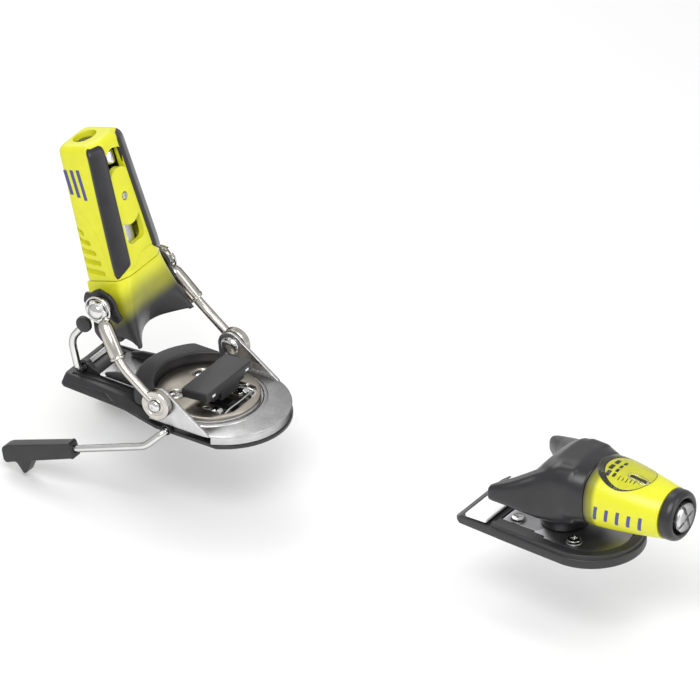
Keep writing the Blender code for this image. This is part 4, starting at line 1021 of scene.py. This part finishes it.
def brake():
    slope = radians(20.5)
    rise = Vector((cos(slope), 0, sin(slope)))
    across = Vector((-rise.z, 0, rise.x))
    knee = Vector((-13.5, 50, -6.4))
    tip_rear = low("brake_tip_left").x + 0.6
    root = Vector((tip_rear, 0, knee.z + tan(slope) * (tip_rear - knee.x)))
    length = 55
    half = fillet([(BRAKE.x, 0, BRAKE.z), (BRAKE.x, 44.5, BRAKE.z), knee,
        knee + rise * ((tip_rear + 43 - knee.x) / rise.x)], 4, 10)
    path = flipped(half[1:]) + half[1:]
    wires = tube("brake_wire", path, 2.25, sides=8)
    lever = [(BRAKE.x - 3, BRAKE.z - 1.2), (BRAKE.x + 2, BRAKE.z - 1.3),
        (PEDAL.x + 2.4, PEDAL.z - 2)] + arc((PEDAL.x, PEDAL.z), 2.4, 0, 150, 16)
    for sign in (-1, 1):
        join(wires, side_prism("upright", lever, sign, 4.6, 6.4))
    cut(wires, prism("pin_hole", arc((PEDAL.x, PEDAL.z), 1.8, 0, 345, 23), -12, 12, "Y"))
    piece(wires, "brake", CHROME, "brake_frame")
    outline = [(0.2, -3.6), (1.5, -5.8), (9.6, -5.4), (12.6, -13.6), (14.6, -13.4), (21.5, -5.4),
        (length - 2.6, -5), (length - 1.2, -5.6), (length, -4.6), (length, 4.4), (length - 1.2, 5.6),
        (length - 2.8, 5.2), (6, 6), (1.4, 4.6)]
    flat = [root + rise * a + across * b for a, b in outline]
    shape = fillet([(p.x, p.z) for p in flat], 2.2, 6, closed=True)
    for side, sign in SIDES:
        tip = side_prism(f"brake_shoe_{side}", shape, sign, 45.6, 54.4)
        rounded(tip, 1.7, 5, 50)
        start = root + rise * 20
        stop = root + rise * (length + 6)
        bore = tube("bore", [(start.x, sign * 50, start.z), (stop.x, sign * 50, stop.z)], 2.6)
        cut(tip, bore)
        piece(tip, "brake", BLACK, f"brake_tip_{side}")
        ring = [(3.1, 1.5), (3.3, 1.3), (3.3, -1.3), (3.1, -1.5), (2.65, -1.5), (2.65, 1.5)]
        bush = lathe(f"wire_bush_{side}", ring, (BRAKE.x, sign * 39.9, BRAKE.z), ACROSS)
        piece(bush, "bases", DARK, f"brake_bush_{side}")
    spring = coil("pedal_spring", (PEDAL.x, -3.6, PEDAL.z), 2.4, 0.5, 4, 7.2, ACROSS)
    piece(spring, "brake", STEEL, "brake_spring")
    pin = lathe("pedal_axle", [(0, 8.3), (1.3, 8.3), (1.5, 8.1), (1.5, -8.1), (1.3, -8.3), (0, -8.3)],
        PEDAL, ACROSS, 32)
    piece(pin, "brake", STEEL, "brake_pedal_pin")


PEDAL_WINDOWS = (-18.4, 18.4)


def pedal():
    bottom = PEDAL.z + 3.2
    outline = [(-3.2, -24.6), (16.2, -24.9), (16.9, -23), (16.9, 23), (16.2, 24.9), (-3.2, 24.6),
        (-3.6, 22), (-3.6, -22)]
    slab = prism("pedal_pad", fillet(outline, 2, 5, closed=True), bottom, bottom + 6.2)
    rounded(slab, 1.7, 5)
    groove = [(17.3, -30, bottom + 4.2), (17.3, 30, bottom + 4.2)]
    tools = [tube("groove", groove, 0.45, sides=2)]
    for y in PEDAL_WINDOWS:
        tools.append(block("window", (14.8, y - 1.9, bottom + 1.7), (18, y + 1.9, bottom + 3.5)))
    cut(slab, *tools)
    lean = about((-3, 0, bottom), -5.7, "Y")
    moved(slab, lean)
    join(slab, block("skirt", (12.6, -9.4, bottom - 3.6), (16.2, 9.4, bottom + 3)),
        block("web", (3, -17, bottom - 1.2), (15, -11, bottom + 2)),
        block("web", (3, 11, bottom - 1.2), (15, 17, bottom + 2)))
    for sign in (-1, 1):
        lug = [(PEDAL.x - 3, bottom + 2.5)] + arc((PEDAL.x, PEDAL.z), 2.6, 180, 360, 16)
        lug.append((PEDAL.x + 3, bottom + 2.5))
        join(slab, side_prism("lug", lug, sign, 6.9, 8.2))
    cut(slab, prism("pin_hole", arc((PEDAL.x, PEDAL.z), 1.8, 0, 345, 23), -12, 12, "Y"))
    piece(slab, "pedal", BLACK, "brake_pedal")
    for index, y in enumerate(PEDAL_WINDOWS):
        chip = rounded(block(f"pedal_chip_{index}", (14.6, y - 1.7, bottom + 1.8),
            (16.8, y + 1.7, bottom + 3.4)), 0.25, 2)
        piece(moved(chip, lean), "pedal", WHITE)


# --- toe unit, fixed

TOE_ARC = 34
TOE_ARC_X = high("toe_base").x - TOE_ARC
TOE_REAR = low("toe_base").x
TOE_SCREWS = ((238, -15), (238, 15), (281, -18), (281, 18))


def toe_outline(inset=0, rear=None):
    start = TOE_REAR + inset if rear is None else rear
    front = arc((TOE_ARC_X, 0), TOE_ARC - inset, 0, 90, 40)
    return mirrored(front
        + [(TOE_REAR + 40, 31 - inset), (TOE_REAR + 4, 28 - inset), (start, 25 - inset)])


def plate_outline(grow=0):
    front = arc((TOE_ARC_X, 0), 26 + grow, 0, 78, 30)
    notch = [(272, 25.4 + grow), (262, 24.6 + grow), (262, 22.4 + grow), (254, 22.2 + grow),
        (254, 20.6 + grow), (229.6 - grow, 20 + grow)]
    return mirrored(front + notch)


def toe_base():
    base = rounded(prism("toe_moulding", toe_outline(), 0, 6.2), 0.9, 4)
    rim = prism("rim", toe_outline(1.3, 226), 5, 8.9)
    rounded(rim, 0.7, 3)
    join(base, rim)
    cut(base, prism("plate_bed", plate_outline(0.7), 6, 20),
        block("pad_bed", (200, -60, 6.2), (227, 60, 20)))
    ramp = block("ramp", (TOE_REAR - 8, -50, 3), (TOE_REAR + 5, 50, 12))
    middle = (TOE_REAR - 1.5, 0, 7.5)
    moved(ramp, about(middle, -32, "Y"))
    tools = [ramp, block("rear_slot", (225.2, -25, 4.4), (228.2, 25, 20))]
    for sign in (-1, 1):
        ribs = [(TOE_REAR + 14, 4.9), (TOE_REAR + 38, 4.9), (TOE_REAR + 52, 1.2), (TOE_REAR + 34, 1.2)]
        rib = prism("side_rib", fillet(ribs, 0.8, 4, closed=True), -0.7, 0.7, "Y")
        moved(rib, Matrix.Rotation(radians(sign * 4.6), 4, "Z"))
        spot = Vector((0, sign * 12.8, 0))
        moved(rib, Matrix.Translation(spot * MM))
        tools.append(rib)
    cut(base, *tools)
    piece(base, "bases", BLACK, "toe_base")


def toe_fixed():
    toe_base()
    plate = prism("toe_sheet", plate_outline(), 6.3, PLATE_TOP)
    rounded(plate, 0.35, 3)
    tools = [drill(7.6, 0, 20, POST_FOOT, steps=56)]
    profile = [(0, 12), (5, 12), (4.6, PLATE_TOP - 0.2), (2.4, 6), (0, 6)]
    for x, y in TOE_SCREWS:
        tools.append(lathe("seat", profile, (x, y, 0), steps=40))
    cut(plate, *tools)
    piece(plate, "bases", STEEL, "toe_plate")
    ring = [(5.2, PLATE_TOP), (5, PLATE_TOP + 0.4), (4.6, PLATE_TOP + 0.4), (4.5, PLATE_TOP)]
    for number, (x, y) in enumerate(TOE_SCREWS, 1):
        countersunk(f"ski_screw_toe_{number}", f"toe_screw_{number}", x, y, 4.2)
        collar = lathe(f"screw_collar_{number}", ring, (x, y, 0), steps=48)
        piece(collar, "bases", STEEL)
    post = lathe("swing_post", [(0, 33), (5.6, 33), (6, 32.6), (6, 6.6), (0, 6.6)], POST_FOOT, steps=56)
    piece(post, "bases", STEEL, "toe_post")
    foot = [(6.2, 19.5), (12.6, 19.5), (13.8, 19.1), (14.6, 18), (15, 16), (15, 9.4), (14.7, 8.8),
        (6.2, 8.8)]
    pedestal = lathe("swing_pedestal", foot, POST_FOOT, steps=96)
    piece(pedestal, "bases", DARK)
    rail_low, rail_high = low("afd_rail"), high("afd_rail")
    rail = rounded(block("slide_rail", tuple(rail_low), tuple(rail_high)), 0.2, 2)
    piece(rail, "bases", STEEL, "afd_rail")
    pad_low, pad_high = low("afd_pad"), high("afd_pad")
    outline = fillet(corners(pad_low, pad_high), 1.6, 6, closed=True)
    pad = prism("slide_pad", outline, pad_low.z, pad_high.z)
    rounded(pad, 0.8, 4)
    piece(pad, "afd", WHITE, "afd_pad")


# --- toe unit, swinging

HEAD_REAR = low("toe_housing").x
HEAD_FRONT = high("toe_housing").x
# share of the length, half width, half height, rise of the centre and squareness
HEAD_KEYS = ((0, 23.4, 20.4, 0.4, 0.78), (0.24, 22.8, 19.8, 0.3, 0.8), (0.58, 21, 18.4, 0.2, 0.85),
    (0.9, 18.4, 17, 0, 0.95), (1, 16.8, 16.4, 0, 1))
SLOT_MIDDLE = (319.2, -3.8)   # of the slot in the toe window


def head_section(x):
    """Half width, half height, centre height and squareness of the toe head at x."""
    total = [0, 0, 0, 0]
    for shift in (-0.06, -0.03, 0, 0.03, 0.06):
        place = (x - HEAD_REAR) / (HEAD_FRONT - HEAD_REAR) + shift
        place = min(max(place, 0), 1)
        for first, second in zip(HEAD_KEYS, HEAD_KEYS[1:]):
            if first[0] <= place <= second[0]:
                share = (place - first[0]) / (second[0] - first[0])
                for i in range(4):
                    value = first[i + 1] + (second[i + 1] - first[i + 1]) * share
                    total[i] += value / 5
                break
    return total[0], total[1], HEAD.z + total[2], total[3]


def superellipse(centre, half_y, half_z, power, count):
    """A rounded-square ring in the YZ plane."""
    ring = []
    for i in range(count):
        angle = tau * i / count
        c = cos(angle)
        s = sin(angle)
        ring.append(Vector((centre[0], centre[1] + copysign(abs(c) ** power, c) * half_y,
            centre[2] + copysign(abs(s) ** power, s) * half_z)))
    return ring


def head_top(x, y, lift):
    """A point on the top of the head, lifted off it."""
    half_y, half_z, z, power = head_section(x)
    share = min(1, abs(y / half_y)) ** (2 / power)
    return Vector((x, y, z + half_z * (1 - share) ** (power / 2) + lift))


def head_side(x, z, lift):
    """A point on the right-hand side of the head, lifted off it."""
    half_y, half_z, centre, power = head_section(x)
    share = min(1, abs((z - centre) / half_z)) ** (2 / power)
    return Vector((x, -half_y * (1 - share) ** (power / 2) - lift, z))


def skin(name, boundary, surface, bottom, top, dome=0, levels=8):
    """A thin patch that follows a surface inside a boundary."""
    bm = bmesh.new()
    count = len(boundary)
    centre = Vector((sum(p[0] for p in boundary) / count, sum(p[1] for p in boundary) / count))
    sheets = []
    for lift, bulge in ((bottom, 0), (top, dome)):
        rows = [[bm.verts.new(surface(centre.x, centre.y, lift + bulge) * MM)]]
        for level in range(1, levels + 1):
            share = level / levels
            row = []
            for point in boundary:
                spot = centre.lerp(Vector(point), share)
                height = lift + bulge * (1 - share ** 3)
                row.append(bm.verts.new(surface(spot.x, spot.y, height) * MM))
            rows.append(row)
        sheets.append(rows)
        for first, second in zip(rows, rows[1:]):
            bridge(bm, first, second)
    bridge(bm, sheets[0][-1], sheets[1][-1])
    return from_bmesh(name, bm)


def ellipse(x, y, half_x, half_y, count=72):
    return [(x + half_x * cos(tau * i / count), y + half_y * sin(tau * i / count))
        for i in range(count)]


def slanted(x, z, half_x, half_z, slant):
    """A slanted bar's boundary with points along its sides."""
    outline = [(x - half_x - slant, z - half_z), (x + half_x - slant, z - half_z),
        (x + half_x + slant, z + half_z), (x - half_x + slant, z + half_z)]
    ring = fillet(outline, 0.3, 3, closed=True)
    return [tuple(p) for p in evened(ring + [ring[0]], 40)[:-1]]


# x, y, z, half width and half height along a wing of the toe cowl
WING_KEYS = ((228.8, 34.6, 34.4, 1.2, 3), (230, 34.3, 35.2, 3, 5.2), (234, 32.6, 35.8, 4.6, 6.6),
    (242, 28.6, 36.4, 7.2, 9.2), (250, 23.6, 36.4, 9.4, 13.2), (258, 18.6, 36.4, 10.4, 17.4),
    (270, 14.6, 39, 11.6, 21.4), (282, 13, 40.6, 11.6, 20.4))


def toe_cowl():
    rings = []
    for x, half_y, bottom, top, power in ((243.5, 12, 31, 40, 0.7), (250, 19, 26, 48, 0.66),
            (257, 24, 22.5, 56, 0.6), (264, 26.3, 20.6, 60.4, 0.56), (280, 26, 20.4, 61.8, 0.6),
            (HEAD_REAR - 0.3, 23.6, 20, 60.9, 0.77)):
        rings.append(superellipse((x, 0, (bottom + top) / 2), half_y, (top - bottom) / 2, power, 64))
    cowl = loft("toe_hood", rings)
    wings = []
    for sign in (-1, 1):
        wing = []
        for x, y, z, half_y, half_z in WING_KEYS:
            wing.append(superellipse((x, sign * y, z), half_y, half_z, 0.72, 40))
        wings.append(loft("cowl_wing", wing))
    join(cowl, *wings)
    remesh = cowl.modifiers.new("blend", "REMESH")
    remesh.mode = "VOXEL"
    remesh.voxel_size = 0.75 * MM
    smooth = cowl.modifiers.new("soften", "SMOOTH")
    smooth.factor = 0.6
    smooth.iterations = 14
    baked(cowl)
    edge = block("edge", (HEAD_REAR - 0.4, -60, 0), (HEAD_REAR + 10, 60, 90))
    post = drill(6.4, 0, 36, POST_FOOT, steps=56)
    bore = drill(13, 276, 300, NOSE_LINE, ALONG, 64)
    foot_room = drill(15.6, 0, 20.2, POST_FOOT, steps=72)
    scoop = lathe("scoop", [(0, 62), (7, 60), (10.5, 54), (11, 46), (8, 38), (0, 35)], (239, 0, 0),
        steps=64)
    cut(cowl, edge, post, bore, foot_room, scoop)
    piece(cowl, "toe_head", DARK, "toe_cowl", sharp=60)


def toe_housing():
    rings = []
    steps = 40
    for i in range(steps + 1):
        x = HEAD_REAR + (HEAD_FRONT - HEAD_REAR) * i / steps
        half_y, half_z, z, power = head_section(x)
        rings.append(superellipse((x, 0, z), half_y, half_z, power, 128))
    head = loft("toe_head_shell", rings)
    cut(head, drill(13, 280, 339, NOSE_LINE, ALONG, 64), drill(10.2, 330, 350, NOSE_LINE, ALONG, 64))
    slot = fillet(corners((313, -5.4), (325.5, -2.2)), 0.8, 4, closed=True)
    cut(head, prism("slot", slot, 40, 70))
    fade = fading_plastic("head_fade", BLACK_RGB, YELLOW_RGB, (HEAD_REAR - 1, 0, HEAD.z),
        (HEAD_REAR + 8.5, 0, HEAD.z), 0.3)
    piece(head, "toe_head", fade, "toe_housing")


# x, y and half sizes of the bars behind the toe window
WINDOW_BARS = ((300.4, -9.2, 1.4, 2.3), (299.2, -3.2, 1.4, 2.3), (299.4, 3, 1.4, 2.3),
    (304.6, -9, 1, 1.6), (304.1, -4.6, 1, 1.6), (304.1, -0.2, 1, 1.6), (304.5, 4.2, 1, 1.6))


def toe_window():
    middle = HEAD_REAR + 17.4
    band = skin("window_band", ellipse(middle, 0, 18.9, 16.8), head_top, -0.3, 0.2, levels=24)
    piece(band, "toe_head", DARK)
    face = skin("window_face", ellipse(middle + 2.6, 0, 16, 15.4), head_top, 0, 0.42, levels=24)
    cut(face, block("slot", (313.2, -5.2, 40), (325.3, -2.4, 70)))
    piece(face, "toe_head", YELLOW)
    for index, (x, y, half_x, half_y) in enumerate(WINDOW_BARS):
        bar = skin(f"window_bar_{index}", slanted(x, y, half_x, half_y, 0), head_top, 0.4, 0.56,
            levels=3)
        piece(bar, "toe_head", DARK)
    for index in range(6):
        x = 308.6 + 2.6 * index
        tick = skin(f"window_tick_{index}", slanted(x, -9.6 + 0.12 * index ** 2, 0.28,
            1.3 if index % 2 else 1.9, 0), head_top, 0.4, 0.56, levels=3)
        piece(tick, "toe_head", DARK)
    outer = ellipse(*SLOT_MIDDLE, 8, 3.3, 56)
    frame_ring = skin("slot_frame", outer, head_top, 0.4, 0.62)
    cut(frame_ring, prism("hole", ellipse(*SLOT_MIDDLE, 7.3, 2.6, 56), 40, 70))
    piece(frame_ring, "toe_head", CHROME)
    lens = skin("window_lens", ellipse(middle, 0, 19.2, 17.1, 96), head_top, 0.75, 0.9, 0.5, 24)
    piece(lens, "toe_head", CLEAR, "toe_window")
    for index in range(5):
        x = 299.4 + 7.6 * index
        height = 4.4 if index % 2 else 4.9
        bar = skin(f"head_bar_{index}", slanted(x, HEAD.z - 2.6, 1.15, height, 0.7), head_side, -0.2,
            0.13, levels=6)
        piece(bar, "toe_head", NAVY)


def toe_inner():
    spring = coil("toe_coil", (283, 0, HEAD.z), 8.6, 1.4, 5, 26, ALONG)
    piece(spring, "toe_head", STEEL, "toe_spring")
    plunger = lathe("toe_piston", [(0, 281), (11.2, 281), (11.6, 280.6), (11.6, 277.9), (11.2, 277.5),
        (0, 277.5)], NOSE_LINE, ALONG)
    piece(plunger, "toe_head", STEEL, "toe_plunger")
    end = high("toe_end_ring").x
    ring = fillet([(11.4, end - 1.6), (12.2, end - 0.3), (13.6, end), (15.6, end - 1),
        (16.5, end - 3.4), (16.5, end - 8), (16, end - 8.6), (11.4, end - 8.6)], 0.9, 5)
    piece(lathe("end_collar", ring, NOSE_LINE, ALONG, 96), "toe_head", DARK, "toe_end_ring")
    face = high("toe_adjuster").x
    profile = [(0, face), (7.4, face), (8.8, face - 0.35), (9.5, face - 1), (9.7, face - 1.9),
        (9.7, 340.4), (9.3, 340), (3, 340), (3, 316), (0, 316)]
    dial = lathe("toe_setting_dial", profile, NOSE_LINE, ALONG, 96)
    slots = [block("slot", (face - 1.9, -12, HEAD.z - 1.25), (face + 3, 12, HEAD.z + 1.25)),
        block("slot", (face - 1.9, -1.25, HEAD.z - 12), (face + 3, 1.25, HEAD.z + 12))]
    turn = about((face, 0, HEAD.z), 20, "X")
    cut(dial, *[moved(slot, turn) for slot in slots])
    piece(dial, "toe_adjuster", SILVER, "toe_adjuster")
    nut = lathe("toe_setting_nut", [(3.3, 317), (11.2, 317), (11.6, 317.4), (11.6, 324.6), (11.2, 325),
        (3.3, 325)], NOSE_LINE, ALONG)
    piece(nut, "toe_indicator", CHROME, "toe_indicator")


# --- everything else

CAD_LOOKS = {"glide_ring": WHITE}


def carried_over():
    """Give every CAD node that is still shown a finish."""
    for name, node in frame["nodes"].items():
        if not node.hide_render:
            node.data.materials.clear()
            node.data.materials.append(CAD_LOOKS.get(name, STEEL))
            node.data.shade_smooth()
            node.data.set_sharp_from_angle(angle=radians(30))


AZIMUTH = radians(33.5)
ELEVATION = radians(31.5)
VIEW_CENTRE = Vector((0.0708, 0.0505, 0.040))   # metres
VIEW_WIDTH = 0.4294


def area_light(name, place, target, size, power):
    light = bpy.data.lights.new(name, "AREA")
    light.shape = "RECTANGLE"
    light.size, light.size_y = size
    light.energy = power
    obj = bpy.data.objects.new(name, light)
    bpy.context.scene.collection.objects.link(obj)
    obj.location = place
    obj.rotation_euler = (Vector(target) - Vector(place)).to_track_quat("-Z", "Y").to_euler()
    obj.visible_camera = False


def stage():
    scene = bpy.context.scene
    material = Surface("studio_floor", (0.92, 0.92, 0.92), 0.7).material
    bm = bmesh.new()
    bmesh.ops.create_grid(bm, x_segments=2, y_segments=2, size=6)
    floor = from_bmesh("studio_floor_plane", bm)
    floor.location.z = CAD_BOX[0][2] - 0.002
    floor.data.materials.append(material)
    world = bpy.data.worlds.new("studio")
    world.use_nodes = True
    background = world.node_tree.nodes["Background"]
    background.inputs["Color"].default_value = (1, 1, 1, 1)
    background.inputs["Strength"].default_value = 0.62
    scene.world = world
    scene.view_settings.view_transform = "Standard"
    centre = Vector((0.09, 0, 0.04))
    area_light("key", (0.35, -0.75, 1), centre, (0.7, 0.7), 9)
    area_light("rim", (-0.7, 0.5, 0.9), centre, (0.7, 1.2), 5)
    area_light("strip", (0.9, 0.1, 0.5), centre, (0.25, 1.2), 2.5)

    back = Vector((sin(AZIMUTH) * cos(ELEVATION), -cos(AZIMUTH) * cos(ELEVATION), sin(ELEVATION)))
    camera = bpy.data.cameras.new("camera")
    camera.type = "ORTHO"
    camera.ortho_scale = VIEW_WIDTH
    camera_object = bpy.data.objects.new("camera", camera)
    scene.collection.objects.link(camera_object)
    camera_object.location = VIEW_CENTRE + back * 1.5
    camera_object.rotation_euler = (-back).to_track_quat("-Z", "Y").to_euler()
    scene.camera = camera_object


heel_base()
heel_disc()
brake_hardware()
turntable()
heel_pad()
tail_clip()
ear_pins()
arms()
heel_shell()
corner_strips()
housing_marks()
heel_jaw()
hub_guards()
housing_inner()
stirrup()
brake()
pedal()
toe_fixed()
toe_cowl()
toe_housing()
toe_window()
toe_inner()
carried_over()
stage()
